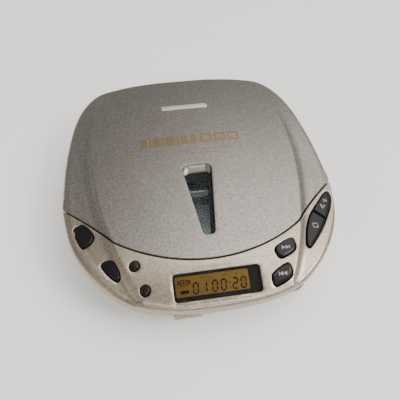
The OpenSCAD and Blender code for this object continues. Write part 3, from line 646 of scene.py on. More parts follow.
def display_glass():
    """The amber display, with painted light: painted a little brighter on its right, and given a faint
    painted glow of its own.
    """
    p = Paint("display_amber", IOR=1.45, Specular_IOR_Level=0.2)
    # painted light: the amber brightens from left to right
    across = p.span(p.split(p.place)["X"], -0.02, 0.02)
    stops = [(0.0, (0.115, 0.066, 0.013)), (0.5, (0.16, 0.092, 0.015)), (1.0, (0.195, 0.112, 0.020))]
    stain = p.ramp(p.noise(120, 4), [(0.3, 0.0), (0.8, 0.35)])
    col = p.mix(stain, p.ramp(across, stops), (0.09, 0.06, 0.02))
    # painted glow: the display gives off a little light of its own, though it is no lamp
    p.set(Base_Color=col, Emission_Color=col, Emission_Strength=0.25)
    p.set(Roughness=p.ramp(p.noise(300, 3), [(0.3, 0.22), (0.8, 0.36)]))
    return p.mat


def circuit():
    """Green circuit board with tracks and gold pads."""
    p = Paint("circuit_board", IOR=1.5, Coat_Weight=0.3, Coat_Roughness=0.2)
    tracks = {"Color1": (0.0, 0.0, 0.0), "Color2": (0.25, 0.25, 0.25), "Mortar": (1.0, 1.0, 1.0)}
    tracks.update({"Vector": p.place, "Scale": 420.0, "Mortar Size": 0.05})
    lines = p.node("ShaderNodeTexBrick", tracks).outputs["Color"]
    col = p.mix(p.math("MULTIPLY", lines, 0.55), (0.008, 0.06, 0.03), (0.03, 0.17, 0.08))
    pad = p.ramp(p.cells(520)["Distance"], [(0.10, 1.0), (0.13, 0.0)])
    p.set(Base_Color=p.mix(pad, col, (0.55, 0.45, 0.25)))
    p.set(Roughness=p.ramp(p.noise(200), [(0.3, 0.3), (0.8, 0.45)]))
    p.set(Normal=p.bump(lines, 0.00003, 0.5))
    return p.mat


def disc_metal():
    """The disc's mirror: a fan of pale colours round the spindle, a painted rainbow reflection, and rings of
    differing brightness.
    """
    p = Paint("disc_mirror", Metallic=1.0, Anisotropic=0.75, IOR=1.5, Coat_Weight=0.6, Coat_Roughness=0.04)
    middle = (SPINDLE[0] * MM, SPINDLE[1] * MM, 0.0)
    from_middle = p.node("ShaderNodeVectorMath", {0: p.place, 1: middle}, operation="SUBTRACT").outputs[0]
    part = p.split(from_middle)
    squares = [p.math("MULTIPLY", part[axis], part[axis]) for axis in "XY"]
    radius = p.math("SQRT", p.math("ADD", *squares))
    # painted reflection: a fixed fan of teal and pale colours stands in for the rainbow that the disc
    # reflects
    painted_rainbow_fan = p.math("SINE", p.math("MULTIPLY", p.math("ARCTAN2", part["Y"], part["X"]), 6.0))
    painted_rainbow_hue = p.ramp(p.math("ADD", p.math("MULTIPLY", painted_rainbow_fan, 0.5), 0.5), [
        (0.0, (0.40, 0.50, 0.52)), (0.35, (0.45, 0.57, 0.59)), (0.7, (0.52, 0.60, 0.59)),
        (1.0, (0.60, 0.60, 0.64))])
    bands = p.math("SINE", p.math("MULTIPLY", radius, 9000.0))
    tone = p.ramp(p.span(radius, 0.0, 0.06), [
        (0.0, 0.06), (0.150, 0.06), (0.155, 0.9), (0.168, 0.9), (0.173, 0.22), (0.283, 0.22), (0.288, 0.95),
        (0.300, 0.95), (0.305, 0.35), (0.318, 0.9), (0.326, 0.14), (0.36, 0.10), (0.44, 0.14), (0.475, 0.75),
        (0.965, 0.8), (0.98, 0.5)])
    gloss = p.ramp(p.math("ADD", p.math("MULTIPLY", bands, 0.5), 0.5), [(0.0, 0.13), (1.0, 0.2)])
    p.set(Base_Color=p.mix(1.0, painted_rainbow_hue, tone, "MULTIPLY"), Roughness=gloss)
    p.set(Tangent=p.node("ShaderNodeTangent", direction_type="RADIAL", axis="Z").outputs[0])
    return p.mat


def cell_wrap():
    """The battery cells' wrapper: dark, with a copper-coloured end."""
    p = Paint("cell_wrap", IOR=1.5, Metallic=0.3, Coat_Weight=0.4, Coat_Roughness=0.1)
    along = p.span(p.split(p.place)["X"], -0.026, 0.026)
    dark = (0.03, 0.035, 0.05)
    stops = [(0.0, dark), (0.70, dark), (0.72, (0.55, 0.35, 0.14)), (1.0, (0.60, 0.38, 0.16))]
    p.set(Base_Color=p.ramp(along, stops))
    p.set(Roughness=p.ramp(p.noise(180), [(0.3, 0.25), (0.8, 0.4)]))
    return p.mat


LID = metallic_paint("lid_silver_paint", (0.20, 0.182, 0.163), (0.385, 0.352, 0.317), 0.87, 0.35)
PANEL = metallic_paint("panel_champagne_paint", (0.30, 0.252, 0.195), (0.52, 0.445, 0.355), 0.9, 0.33)
BASE = metallic_paint("base_silver_paint", (0.26, 0.235, 0.21), (0.42, 0.385, 0.345), 0.8, 0.42)
BLACK = moulded("black_plastic", (0.012, 0.012, 0.013), 0.45)
INNER = moulded("inner_black_plastic", (0.018, 0.018, 0.02), 0.62, 900, 0.00008)
BUTTON = moulded("button_black", (0.006, 0.006, 0.0065), 0.26, 2200, 0.00002, 0.26, 0.012)
BUTTON_BROWN = moulded("button_brown_black", (0.010, 0.007, 0.0055), 0.26, 2200, 0.00002, 0.28, 0.012)
RUBBER = moulded("black_rubber", (0.02, 0.02, 0.02), 0.78, 700, 0.0001, 0.3, 0.12)
STEEL = metal("bright_steel", (0.62, 0.62, 0.63))
SPRING = metal("spring_steel", (0.68, 0.68, 0.68), 0.18)
TRIM = metal("badge_trim", (0.88, 0.86, 0.82), 0.42, (1, 1, 30))
SMOKED = window("smoked_window", (0.010, 0.014, 0.015), 0.25)
CLEAR = window("display_cover", (0.015, 0.010, 0.005), 0.06)
GOLD = metal("gold_print", (0.30, 0.22, 0.125), 0.42, (1, 6, 1))
FAINT = moulded("faint_print", (0.17, 0.14, 0.11), 0.6, 3000, 0.00001)
SYMBOL = moulded("grey_symbol", (0.34, 0.33, 0.32), 0.5, 3000, 0.00001)
SEGMENT = moulded("display_segment", (0.006, 0.0035, 0.0015), 0.85, 3000, 0.00001, 0.05, 0.0)
MASK = moulded("display_mask", (0.006, 0.005, 0.004), 0.6, 1800, 0.00002, 0.15, 0.01)
GHOST = moulded("display_idle_segment", (0.105, 0.060, 0.013), 0.7, 3000, 0.00001, 0.1, 0.0)
AMBER = display_glass()
BOARD = circuit()
DISC = disc_metal()
CELL = cell_wrap()
LENS = clear("lens_glass", (0.45, 0.5, 0.8), 0.01, 1.6)
CLEAR_HUB = clear("clear_disc_hub", (0.80, 0.86, 0.86), 0.03, 1.55)

# ---------------------------- carried-over CAD nodes
# Material of each node and, where its edges are softened, the width of the bevel.
CARRIED = {
    PANEL: {"open_slider": 0.3},
    BASE: {"middle_frame": 0.25, "battery_door": 0.3},
    BLACK: {
        "disc_tray": 0.3, "display_holder": 0.2, "key_switches": 0.2, "board_chips": 0.2,
        "headphone_jack": 0.25, "line_out_jack": 0.25, "power_jack": 0.25, "volume_wheel": 0.12,
        "hold_slider": 0.35, "limiter_slider": 0.35, "turntable": 0.25, "pickup_base": 0.35,
    },
    INNER: {"lid_liner": 0.25, "battery_holder": 0.2},
    RUBBER: {"rubber_feet": 0.3, "chassis_dampers": 0.3},
    STEEL: {
        "case_screws": 0.15, "hinge_pins": None, "volume_shaft": None, "volume_pot": 0.2,
        "side_switches": 0.15, "chassis_plate": 0.15, "chassis_screws": None, "spindle_motor": 0.5,
        "hub_balls": None, "guide_rod": None, "guide_rail": None, "feed_screw": None, "feed_motor": 0.3,
    },
    SPRING: {"lid_spring": None, "open_spring": None, "battery_contacts": None},
    BOARD: {"main_board": 0.12, "key_board": 0.12},
    CELL: {"battery_cells": 0.5},
    LENS: {"objective_lens": None},
}


def smooth_by_angle(degrees):
    """A node group that shades smooth, with edges sharper than the angle left sharp."""
    tree = bpy.data.node_groups.new("smooth_by_angle", "GeometryNodeTree")
    for way in ("INPUT", "OUTPUT"):
        tree.interface.new_socket("Geometry", in_out=way, socket_type="NodeSocketGeometry")
    group = Nodes(tree)
    given = group.node("NodeGroupInput").outputs[0]
    smooth = group.node("GeometryNodeSetShadeSmooth", {"Geometry": given}).outputs[0]
    angle = group.node("GeometryNodeInputMeshEdgeAngle").outputs["Unsigned Angle"]
    gentle = group.node("FunctionNodeCompare", data_type="FLOAT", operation="LESS_THAN")
    group.put(gentle.inputs["A"], angle)
    group.put(gentle.inputs["B"], math.radians(degrees))
    sharp = group.node("GeometryNodeSetShadeSmooth", {"Geometry": smooth}, domain="EDGE")
    group.put(sharp.inputs["Shade Smooth"], gentle.outputs[0])
    group.node("NodeGroupOutput", {0: sharp.outputs[0]})
    return tree


smoothing = smooth_by_angle(35)
for mat, widths in CARRIED.items():
    for name, width in widths.items():
        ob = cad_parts[name]
        ob.data.materials.clear()
        ob.data.materials.append(mat)
        if width:
            bevel = ob.modifiers.new("edges", "BEVEL")
            bevel.width = width * MM
            bevel.segments = 2
            bevel.limit_method = "ANGLE"
            bevel.angle_limit = math.radians(40)
            bevel.use_clamp_overlap = True
        ob.modifiers.new("smooth", "NODES").node_group = smoothing


# ---------------------------- outlines of the buttons and the display
PLAY_STOP = spline([
    (64.3, -21.4), (61.2, -22.8), (53.2, -31.3), (49.3, -36.3), (46.1, -42.6), (43.9, -49.6), (44.3, -51.7),
    (46.2, -51.8), (52.6, -45.2), (58.3, -37.6), (62.4, -31), (64.6, -25.4)], 12)
SKIP_F = spline([
    (28.3, -54.9), (28.6, -51.2), (36.3, -47.5), (38.2, -49.4), (37.4, -53.6), (30.6, -56.7)], 14)
SKIP_B = spline([
    (24.2, -66), (24.9, -62.4), (32.1, -58.7), (34, -60.6), (33.3, -64.6), (26.2, -67.8)], 14)
SOUND = spline([
    (-62.4, -27.6), (-60.2, -25), (-57.2, -25.3), (-52.9, -31.4), (-53.3, -35), (-56.2, -37.4),
    (-59, -36.8)], 12)
BASS = spline([
    (-50.1, -47.7), (-47.6, -46), (-44.5, -46.8), (-42, -52), (-41.9, -55.4), (-43.8, -56.1),
    (-47.6, -52.3)], 12)
ROUND = {"mode": (-35.2, -51.6), "repeat": (-31.6, -62.4)}
ROUND_HOLE_R, ROUND_CAP_R = 2.4, 2.05
BUTTON_GAP = 0.35
DISPLAY_C, DISPLAY_W, DISPLAY_D = np.array([0.0, -63.3]), 39.0, 11.0
DISPLAY_Z, DISPLAY_SLOPE, LCD_DROP = 24.5, math.radians(23), 1.4
OUTLINE_STEP = 0.45


# ---------------------------- fascia panel
def straight(loop):
    """The foot of a hole whose wall goes straight down."""
    return loop


def fascia():
    """The crescent in front of the seam, with the holes for the buttons and the display."""
    holes = [resample(h, OUTLINE_STEP) for h in (PLAY_STOP, SKIP_F, SKIP_B, SOUND, BASS)]
    holes += [circle(c, ROUND_HOLE_R) for c in ROUND.values()]
    holes = [(h, 0.35, PANEL_WALL, straight) for h in holes]
    holes.append((box_plan(*DISPLAY_C, DISPLAY_W, DISPLAY_D, 1.5), 0.45, PANEL_WALL, straight))

    front = -15.05
    middle = len(OUTLINE) // 2
    rim = np.array([p for p in (*OUTLINE[middle:], *OUTLINE[:middle]) if p[1] < front])
    line = seam(HALF_SEAM)[::-1]
    line = line[np.abs(line[:, 0]) < 66.9]
    to_rim = nearest(line, rim)
    to_line = nearest(rim, line)

    radius = np.minimum(2.5, 0.35 * np.maximum(0.1, to_line - 0.9))
    for outline, edge, _, _ in holes:
        radius = np.minimum(radius, 0.6 * (nearest(rim, outline) - edge))
    for _ in range(12):
        radius = np.minimum(radius, np.convolve(np.pad(radius, 2, mode="edge"), np.ones(5) / 5, "valid"))
    seam_radius = np.minimum(0.35, 0.3 * np.maximum(0.1, to_rim - 0.9))
    line_low = np.maximum(PANEL_LOW, top_z(line[:, 0], line[:, 1]) - 5)
    rising = PANEL_LOW + (line_low - PANEL_LOW) * ease((to_rim - 1.5) / 6)
    rim_thick = np.minimum(1.9, 0.3 * np.maximum(0.2, to_line - 0.6))
    line_thick = np.minimum(1.5, 0.3 * np.maximum(0.2, to_rim - 0.6))
    shell(
        "front_fascia", np.vstack([rim, line]),
        np.concatenate([np.maximum(radius, 0.03), seam_radius]),
        np.concatenate([np.full(len(rim), PANEL_LOW), rising]),
        np.concatenate([1.0 * ease((to_line - 1) / 8), np.zeros(len(line))]),
        np.concatenate([rim_thick, line_thick]),
        PANEL_WALL, holes, [PANEL, INNER], "case", ["front_panel"], 1.35)


fascia()


# ---------------------------- lid
def ramp_foot(loop):
    """The foot of the slot's wall, which slopes down from the back."""
    back = ease((loop[:, 1] + 3.6) / 3.4)
    return loop + np.stack([-loop[:, 0] * 0.1 * back, -3.4 * back], 1)


def lid():
    """The domed cover behind the seam, with its tapering slot."""
    front = -14.3
    rim = np.array([p for p in OUTLINE if p[1] > front])
    first = int(np.argmin(np.where(rim[:, 0] > 0, rim[:, 1], np.inf)))
    rim = np.roll(rim, -first, 0)
    line = seam(-HALF_SEAM)
    away = np.abs(rim[:, 1] - front)
    to_rim = nearest(line, rim)
    line_low = np.maximum(LID_LOW, top_z(line[:, 0], line[:, 1]) - 4.6)
    rising = LID_LOW + (line_low - LID_LOW) * ease((to_rim - 2.5) / 6)
    slot = rounded([(-7.8, 0.6), (-2.7, -41.2), (2.7, -41.2), (7.8, 0.6)], [3.4, 2.3, 2.3, 3.4], 0.3)
    shell(
        "lid_top", np.vstack([rim, line]),
        np.concatenate([0.3 + 2.2 * ease((away - 1.0) / 9), np.minimum(0.35, 0.05 + 0.3 * to_rim)]),
        np.concatenate([np.full(len(rim), LID_LOW), rising]),
        np.concatenate([0.8 * ease((away - 1) / 8), np.zeros(len(line))]),
        np.concatenate([0.4 + 1.5 * ease((away - 0.5) / 6), np.minimum(1.5, 0.15 + 0.3 * to_rim)]),
        LID_WALL, [(resample(slot, 0.4), 0.3, 3.0, ramp_foot)], [LID, INNER], "lid", ["lid_cover"],
        1.3)


lid()


# ---------------------------- buttons
PROUD = 0.7
STEM_R, STEM_FOOT = 1.0, 17.6
SPLIT_A, SPLIT_B, SPLIT_HALF = np.array([51.0, -31.2]), np.array([59.4, -39.0]), 0.16


def plane_at(c, crown, reach):
    """The plane that touches the top at c, raised to a button's height, with a slight crown."""
    cx, cy = c
    z0 = float(top_z(cx, cy, False))
    gx = float(top_z(cx + 0.5, cy, False) - top_z(cx - 0.5, cy, False))
    gy = float(top_z(cx, cy + 0.5, False) - top_z(cx, cy - 0.5, False))

    def height(x, y):
        bulge = crown * (1 - ((x - cx) ** 2 + (y - cy) ** 2) / reach**2)
        return z0 + PROUD + gx * (x - cx) + gy * (y - cy) + bulge

    return height


def cap_plan(hole):
    return shrink(resample(hole, OUTLINE_STEP), BUTTON_GAP)


def half_leaf(side):
    """The long leaf's part on one side of its split: 1 for play, -1 for stop."""
    dx, dy = SPLIT_B - SPLIT_A
    across = np.array([-dy, dx]) / math.hypot(dx, dy)
    leaf = resample(cap_plan(PLAY_STOP), OUTLINE_STEP)
    return resample(cut_by(leaf, SPLIT_A + side * across * SPLIT_HALF, side * across), 0.4)


# Plan of the cap, middle of the stem, crown, reach of the crown, height of the underside, edge radius.
BUTTONS = {
    "skip_forward": (cap_plan(SKIP_F), (33.3, -52), 0.1, 6, 21, 0.6),
    "skip_back": (cap_plan(SKIP_B), (29.1, -63.3), 0.1, 6, 18.6, 0.6),
    "sound": (cap_plan(SOUND), (-57.5, -31.2), 0.1, 6, 20, 0.6),
    "bass": (cap_plan(BASS), (-45.4, -50.8), 0.1, 6, 19.6, 0.6),
    "play": (half_leaf(1), (58.6, -30), 0.08, 6, 20, 0.85),
    "stop": (half_leaf(-1), (50.6, -42.4), 0.08, 6, 19.4, 0.85),
    "mode": (circle(ROUND["mode"], ROUND_CAP_R), ROUND["mode"], 0.12, 2, 21, 0.6),
    "repeat": (circle(ROUND["repeat"], ROUND_CAP_R), ROUND["repeat"], 0.12, 2, 19, 0.6),
}
tops = {}
for name, (plan, middle, crown, reach, low, edge) in BUTTONS.items():
    tops[name] = plane_at(middle, crown, reach)
    paint = BUTTON_BROWN if name in ROUND else BUTTON
    slab(name + "_cap", plan, tops[name], flat(low), edge, paint, name + "_button", [name + "_button"],
         0.8, (72, 54, 36, 18, 0), (middle, STEM_R, STEM_FOOT))

TRIANGLE = np.array([(-0.9, -1.05), (-0.9, 1.05), (1.0, 0)])


def triangle(c, degrees, size):
    return np.array(c) + spun(TRIANGLE * size, math.radians(degrees))


def outlined(name, loop, button):
    hollow_decal(name, resample(loop, 0.3), 0.32, SYMBOL, button + "_button", tops[button])


def solid(name, loop, button, step):
    decal(name, resample(loop, step), SYMBOL, button + "_button", tops[button])


outlined("play_mark", triangle((58.5, -30.7), 8, 1.35), "play")
for i, x in enumerate((59.9, 61.05)):
    solid("pause_mark_%d" % i, box_plan(x, -27.4, 0.5, 1.7, 0.06), "play", 0.25)
outlined("stop_mark", box_plan(51.1, -41.3, 2.5, 2.5, 0.12), "stop")
for way, name, (x, y) in ((1, "skip_forward", (33.2, -52.2)), (-1, "skip_back", (29.2, -63.3))):
    for i, dx in enumerate((-1.25, 0.55)):
        solid("%s_arrow_%d" % (name, i), triangle((x + dx * way, y), 90 - 90 * way, 0.82), name, 0.25)
    solid(name + "_bar", box_plan(x + 1.62 * way, y, 0.32, 1.7, 0.05), name, 0.2)


# ---------------------------- display
def display_plane(drop):
    """Height of the display's sloping plane, lowered by drop along its normal."""
    rise, fall = math.tan(DISPLAY_SLOPE), drop / math.cos(DISPLAY_SLOPE)
    return lambda x, y: DISPLAY_Z + (y - DISPLAY_C[1]) * rise - fall


cover = shrink(box_plan(*DISPLAY_C, DISPLAY_W, DISPLAY_D, 1.5, 0.25), 0.12)
slab("display_cover", cover, display_plane(0.0), display_plane(0.95), 0.3, CLEAR, "case", ["display_window"],
     1.2)
glass = display_plane(LCD_DROP)
slab("liquid_crystal_panel", box_plan(DISPLAY_C[0], DISPLAY_C[1] + 0.15, 37.8, 10.2, 0.25, 0.5), glass,
     display_plane(LCD_DROP + 1.4), 0.08, AMBER, "case", ["display_panel"], 1.5)
mask_outside = box_plan(*DISPLAY_C, 38.2, 10.3, 0.3, 0.4)
mask_inside = box_plan(-2.15, -62.55, 32.9, 8.3, 0.6, 0.4)
printed("display_mask", [mask_outside, mask_inside], MASK, "case", glass, lift=0.22, sink=-0.02)

# Middle of each segment in half digits, and whether it lies level.
SEGMENTS = {
    "a": (0, 1, True), "g": (0, 0, True), "d": (0, -1, True), "f": (-1, 0.5, False), "b": (1, 0.5, False),
    "e": (-1, -0.5, False), "c": (1, -0.5, False),
}
DIGITS = {"0": "abcdef", "1": "bc", "2": "abged"}
DIGIT_W, DIGIT_H, STROKE, LEAN = 2.75, 4.9, 0.68, 0.08


def shown(name, loop, mat=SEGMENT):
    decal(name, loop, mat, "case", glass, 0.05, 3.0)


def bar(half):
    """A segment with pointed ends, lying level."""
    end, point = half - STROKE / 2, STROKE / 2
    return np.array([(-half, 0), (-end, -point), (end, -point), (half, 0), (end, point), (-end, point)])


def digit(tag, figure, cx, cy):
    """The lit segments of one figure, and its middle segment when idle."""
    for key, (sx, sy, level) in SEGMENTS.items():
        lit = key in DIGITS[figure]
        if not lit and key != "g":
            continue
        if level:
            loop = bar((DIGIT_W - STROKE) / 2 - 0.12)
        else:
            loop = bar((DIGIT_H - STROKE) / 4 - 0.12)[:, ::-1]
        loop = loop + [sx * (DIGIT_W - STROKE) / 2, sy * (DIGIT_H - STROKE) / 2]
        loop = np.stack([cx + loop[:, 0] + loop[:, 1] * LEAN, cy + loop[:, 1]], 1)
        shown("digit_%s_%s" % (tag, key), loop, SEGMENT if lit else GHOST)


for i, (figure, x) in enumerate(zip("010020", (-9.7, -6.0, -1.2, 2.7, 7.9, 11.6))):
    digit(i, figure, x, -63.7)
for i, y in enumerate((-64.9, -63.0)):
    shown("colon_%d" % i, box_plan(5.5, y, 0.5, 0.5, 0.1, 0.15))
oval = circle((0, 0), 1, 40) * [3.0, 1.15] + [-14.7, -60.9]
hollow_decal("mode_oval", oval, 0.28, SEGMENT, "case", glass, 0.05)
for i, dx in enumerate((-1.2, 0.0, 1.2)):
    shown("mode_bar_%d" % i, box_plan(-14.7 + dx, -60.9, 0.8, 0.7, 0.1, 0.2))
shown("battery_mark", box_plan(-14.7, -64.7, 3.8, 1.3, 0.2, 0.25))
for i, x in enumerate((-6.5, -3.0, 3.0, 9.0)):
    shown("indicator_%d" % i, box_plan(x, -59.9, 2.2, 0.45, 0.1, 0.2), GHOST)


# ---------------------------- printed marks and badge
def dashes(name, x0, x1, y, h, mat, words, body="lid", gap=0.8):
    """A row of plain bars in place of lettering. words holds their lengths in units of the row."""
    total = sum(words) + gap * (len(words) - 1)
    x, unit = x0, (x1 - x0) / total
    for i, units in enumerate(words):
        w = units * unit
        plan = box_plan(x + w / 2, y, w, h, min(h, w) * 0.22, 0.3)
        decal("%s_%d" % (name, i), resample(plan, 0.6), mat, body, top_z)
        x += (units + gap) * unit


dashes("gold_mark", -27.0, 3.0, 18.6, 6.6, GOLD, (3, 1, 3, 1, 4, 1, 3, 3))
for i in range(3):
    gold_box = box_plan(8.2 + 7.4 * i, 18.9, 6.4, 6.4, 1.2, 0.3)
    hollow_decal("gold_frame_%d" % i, resample(gold_box, 0.5), 1.3, GOLD, "lid", top_z)
dashes("small_mark", -20.0, 19.0, 10.6, 0.75, FAINT, (7, 4, 9, 5, 8))
dashes("smaller_mark", -13.0, 13.0, 8.2, 0.6, FAINT, (5, 7, 4, 6))
dashes("panel_mark", -16.0, 14.0, -70.35, 0.55, FAINT, (6, 4, 3, 7, 5), "case", 1.2)

badge = resample(box_plan(0, 45.5, 26, 3.2, 0.7, 0.3), 0.4)
slab("lid_bar", badge, lambda x, y: top_z(x, y) + 0.5, lambda x, y: top_z(x, y) - 0.3, 0.22, TRIM, "lid",
     ["lid_badge"], 0.9)


# ---------------------------- disc
def disc():
    """The disc: a clear hub, a fine groove round it, and the mirrored data area."""
    lo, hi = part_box("compact_disc")
    bottom, top = lo.z / MM, hi.z / MM
    profile = [
        (7.5, bottom + 0.1), (7.5, top - 0.1), (7.6, top), (16.6, top), (16.8, top - 0.12),
        (17.4, top - 0.12), (17.6, top), (22.4, top), (22.5, top - 0.03), (22.9, top - 0.03), (23.0, top),
        (58.0, top), (59.9, top), (60.0, top - 0.1), (60.0, bottom + 0.1), (59.9, bottom), (23.0, bottom),
        (17.4, bottom), (16.9, bottom + 0.02), (16.4, bottom), (7.6, bottom),
    ]
    index = [1] * 2 + [0] * 14 + [1] * 5
    revolve("audio_disc", profile, SPINDLE, 256, [DISC, CLEAR_HUB], "spinner", ["compact_disc"],
            index)


disc()

# ---------------------------- dark strips in the ends of the seam: painted shadow, a dark filler where the gap is only in shade
for tag, way in (("right", 1), ("left", -1)):
    front, back = seam(0.13), seam(-0.13)
    keep = (front[:, 0] * way > 58) & (front[:, 0] * way < 67.15)
    strip = np.vstack([front[keep], back[keep][::-1]])
    # painted shadow: a dark sheet in the seam's ends stands in for the shade in the gap
    slab("seam_shadow_strip_" + tag, strip, lambda x, y: top_z(x, y) - 0.9, flat(15.7), 0.03, INNER, "case",
         step=3.0, angles=(0,))

# ---------------------------- grip ribs of the open slider
for i in range(5):
    slab("slider_rib_%d" % i, box_plan(-17.2 + 1.6 * i, -71.05, 0.8, 0.6, 0.2, 0.15), flat(12.5), flat(9.7),
         0.12, PANEL, "open_slider", step=0.5, angles=(45, 0))

# ---------------------------- window and the well under the slot
WINDOW_TILT = math.tan(math.radians(2.6))
WELL_WALL, WELL_TOP, WELL_FOOT = 0.9, 1.35, 22.9


def window_top(x, y):
    return HEIGHT - 3.35 + (y + 20) * WINDOW_TILT


def slot_well():
    """The dark walls between the window and the disc, leaning inwards as they go down."""
    plan = rounded([(-7.0, -3.0), (-2.3, -40.9), (2.3, -40.9), (7.0, -3.0)], [1.6, 2.0, 2.0, 1.6], 0.3)
    upper = ccw(resample(plan, 0.5))
    lower = upper - normals(upper) + np.array([0.0, 0.3])
    height = window_top(0, upper[:, 1]) - WELL_TOP
    skin = Skin()
    rings = [
        skin.put(at_z(lower, WELL_FOOT)),
        skin.put(at_z(upper, height)),
        skin.put(at_z(upper + normals(upper) * WELL_WALL, height)),
        skin.put(at_z(lower + normals(lower) * WELL_WALL, WELL_FOOT)),
    ]
    for i in range(4):
        skin.band(rings[i], rings[(i + 1) % 4])
    add("slot_well", skin, BLACK, "lid")


slot_well()
pane = resample(rounded([(-9.8, 2.7), (-4.8, -43.2), (4.8, -43.2), (9.8, 2.7)], 1.0, 0.35), 0.6)
slab("disc_window", pane, window_top, lambda x, y: window_top(x, y) - 1.15, 0.15, SMOKED, "lid",
     ["lid_window"], 2.0)


# ---------------------------- lower cabinet
# Inset from the outline and height, from the floor to the top of the wall.
BASE_PROFILE = np.array(
    [(13, 1), (10.4, 1.5), (7.9, 3.1), (5.8, 5.6), (4.2, 8.6), (3, 11.2), (2.5, 13.4)], float)
BASE_WALL = 1.8
SCREWS = [(-45, -30), (45, -30), (-50, 30), (50, 30), (-38, 54), (38, 54)]
FEET = [(-38, -46), (38, -46), (-47, 45), (47, 45)]
SOCKET_Z = 8.0
HINGE_Y, HINGE_Z = 66.5, 17.5
TROUGH_GAP = 1.3
# Distance from the middle and radius of the trough round the hinge.
TROUGH = [(0, 7.6), (20, 7.5), (30, 6.9), (38, 5.9), (44, 4.8), (50, 3.4), (54, 3)]


def inset(d):
    """The case's outline moved inwards."""
    return OUTLINE[::2] - OUTLINE_N[::2] * d


def base_profile(k):
    """Inset and height along the base profile: k runs from 0 at the bottom to 1 at the top."""
    t = k * (len(BASE_PROFILE) - 1)
    before = BASE_PROFILE[:1] * 2 - BASE_PROFILE[1:2]
    after = BASE_PROFILE[-1:] * 2 - BASE_PROFILE[-2:-1]
    points = np.vstack([before, BASE_PROFILE, after])
    i = min(int(t), len(BASE_PROFILE) - 2)
    return catmull_rom(*points[i:i + 4], t - i)


def at_x(p, x):
    """Points in space from (y, z) points."""
    return np.column_stack([np.full(len(p), float(x)), p])


def rod(skin, sections):
    """Adds a closed solid through a row of sections."""
    rings = [skin.put(section) for section in sections]
    for a, b in zip(rings, rings[1:]):
        skin.band(a, b)
    skin.cap(rings[0])
    skin.cap(rings[-1])


def tube(skin, loop, z0, z1):
    """Adds a prism: a plan loop between two heights."""
    rod(skin, [at_z(loop, z0), at_z(loop, z1)])


def side_tube(skin, loop, x0, x1):
    """Adds a prism along X."""
    rod(skin, [at_x(loop, x0), at_x(loop, x1)])


def cabinet_body():
    """The bowl, up the outside, over the lip and down the inside to the floor."""
    skin = Skin()
    profile = [base_profile(k) for k in np.linspace(0, 1, 31)]
    profile.append((4.3, 13.4))
    for k in (0.82, 0.66, 0.5, 0.34, 0.24):
        profile.append(base_profile(k) + [BASE_WALL, 0])
    profile.append((12.0, 2.6))
    rod(skin, [at_z(inset(d), z) for d, z in profile])
    return mesh_object("lower_cabinet_raw", skin)


def hole_cutter():
    """Everything cut from the cabinet in straight strokes."""
    skin = Skin()
    battery_bay = box_plan(0, 41.4, 58.6, 30.2, 1.2)
    tube(skin, battery_bay, -1, 5)
    for c in SCREWS:
        tube(skin, circle(c, 2.4, 40), -1, 3.2)
    for c in FEET:
        tube(skin, circle(c, 4.7, 48), -1, 1.42)
    for y in (-18, -4):
        side_tube(skin, circle((y, SOCKET_Z), 4.3, 48), 52, 72)
    side_tube(skin, circle((18, SOCKET_Z), 4.9, 48), -72, -52)
    for y in (-8, 5):
        side_tube(skin, box_plan(y, 8.1, 9.0, 4.2, 0.9, 0.2), -72, -55)
    volume_wheel = circle((35.1, -56.3), 10.2, 72)
    tube(skin, volume_wheel, 9.1, 17.1)
    open_slider = box_plan(-11.8, -69, 18.4, 10, 0.8)
    tube(skin, open_slider, 8.7, 17)
    for count, y, width, length, radius in ((7, 4.0, 2.4, 16, 1.15), (5, -40.0, 2.0, 10, 0.95)):
        for i in range(count):
            groove = box_plan(6 * i - 3 * (count - 1), y, width, length, radius, 0.3)
            tube(skin, groove, -1, 1.45)
    return mesh_object("cutter", skin)


def trough_cutter():
    """The space round the hinge, a spindle shape along X."""
    skin = Skin()
    reach, radius = zip(*TROUGH)
    sections = []
    for x in np.linspace(-55.3, 55.3, 41):
        r = float(np.interp(abs(x), reach, radius)) + TROUGH_GAP
        sections.append(at_x(circle((HINGE_Y, HINGE_Z), r, 40), x))
    rod(skin, sections)
    return mesh_object("trough_cutter", skin)


def carve(raw, overlapping, single):
    """The mesh left when two cutters, the first of overlapping solids, are taken from the raw object."""
    cutters = (overlapping, single)
    for cutter in cutters:
        cut = raw.modifiers.new("cut", "BOOLEAN")
        cut.operation = "DIFFERENCE"
        cut.object = cutter
        cut.solver = "EXACT"
        cut.use_self = cutter is overlapping
    mesh = bpy.data.meshes.new_from_object(raw.evaluated_get(bpy.context.evaluated_depsgraph_get()))
    for ob in (raw, *cutters):
        bpy.data.objects.remove(ob, do_unlink=True)
    bm = bmesh.new()
    bm.from_mesh(mesh)
    bmesh.ops.remove_doubles(bm, verts=bm.verts, dist=2e-7)
    bmesh.ops.dissolve_degenerate(bm, edges=bm.edges, dist=2e-7)
    bmesh.ops.triangulate(bm, faces=[f for f in bm.faces if len(f.verts) > 4])
    bmesh.ops.recalc_face_normals(bm, faces=bm.faces)
    bm.to_mesh(mesh)
    bm.free()
    return mesh


def face_vectors(mesh, name):
    """The centres or normals of a mesh's faces."""
    values = np.empty(len(mesh.polygons) * 3)
    mesh.polygons.foreach_get(name, values)
    return values.reshape(-1, 3)


def lower_cabinet():
    mesh = carve(cabinet_body(), hole_cutter(), trough_cutter())
    mesh.materials.clear()
    mesh.materials.append(BASE)
    mesh.materials.append(INNER)
    centre = face_vectors(mesh, "center") / MM
    normal = face_vectors(mesh, "normal")
    outward = (normal[:, :2] * centre[:, :2]).sum(1) - normal[:, 2]
    dark = (centre[:, 2] > 2.5) & (outward < 0.02) & (normal[:, 2] > -0.5)
    mesh.polygons.foreach_set("material_index", dark.astype(np.int32))
    mesh.shade_smooth()
    mesh.set_sharp_from_angle(angle=math.radians(32))
    ob = place("lower_cabinet", mesh)
    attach(ob, "case")
    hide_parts("bottom_cabinet")


lower_cabinet()


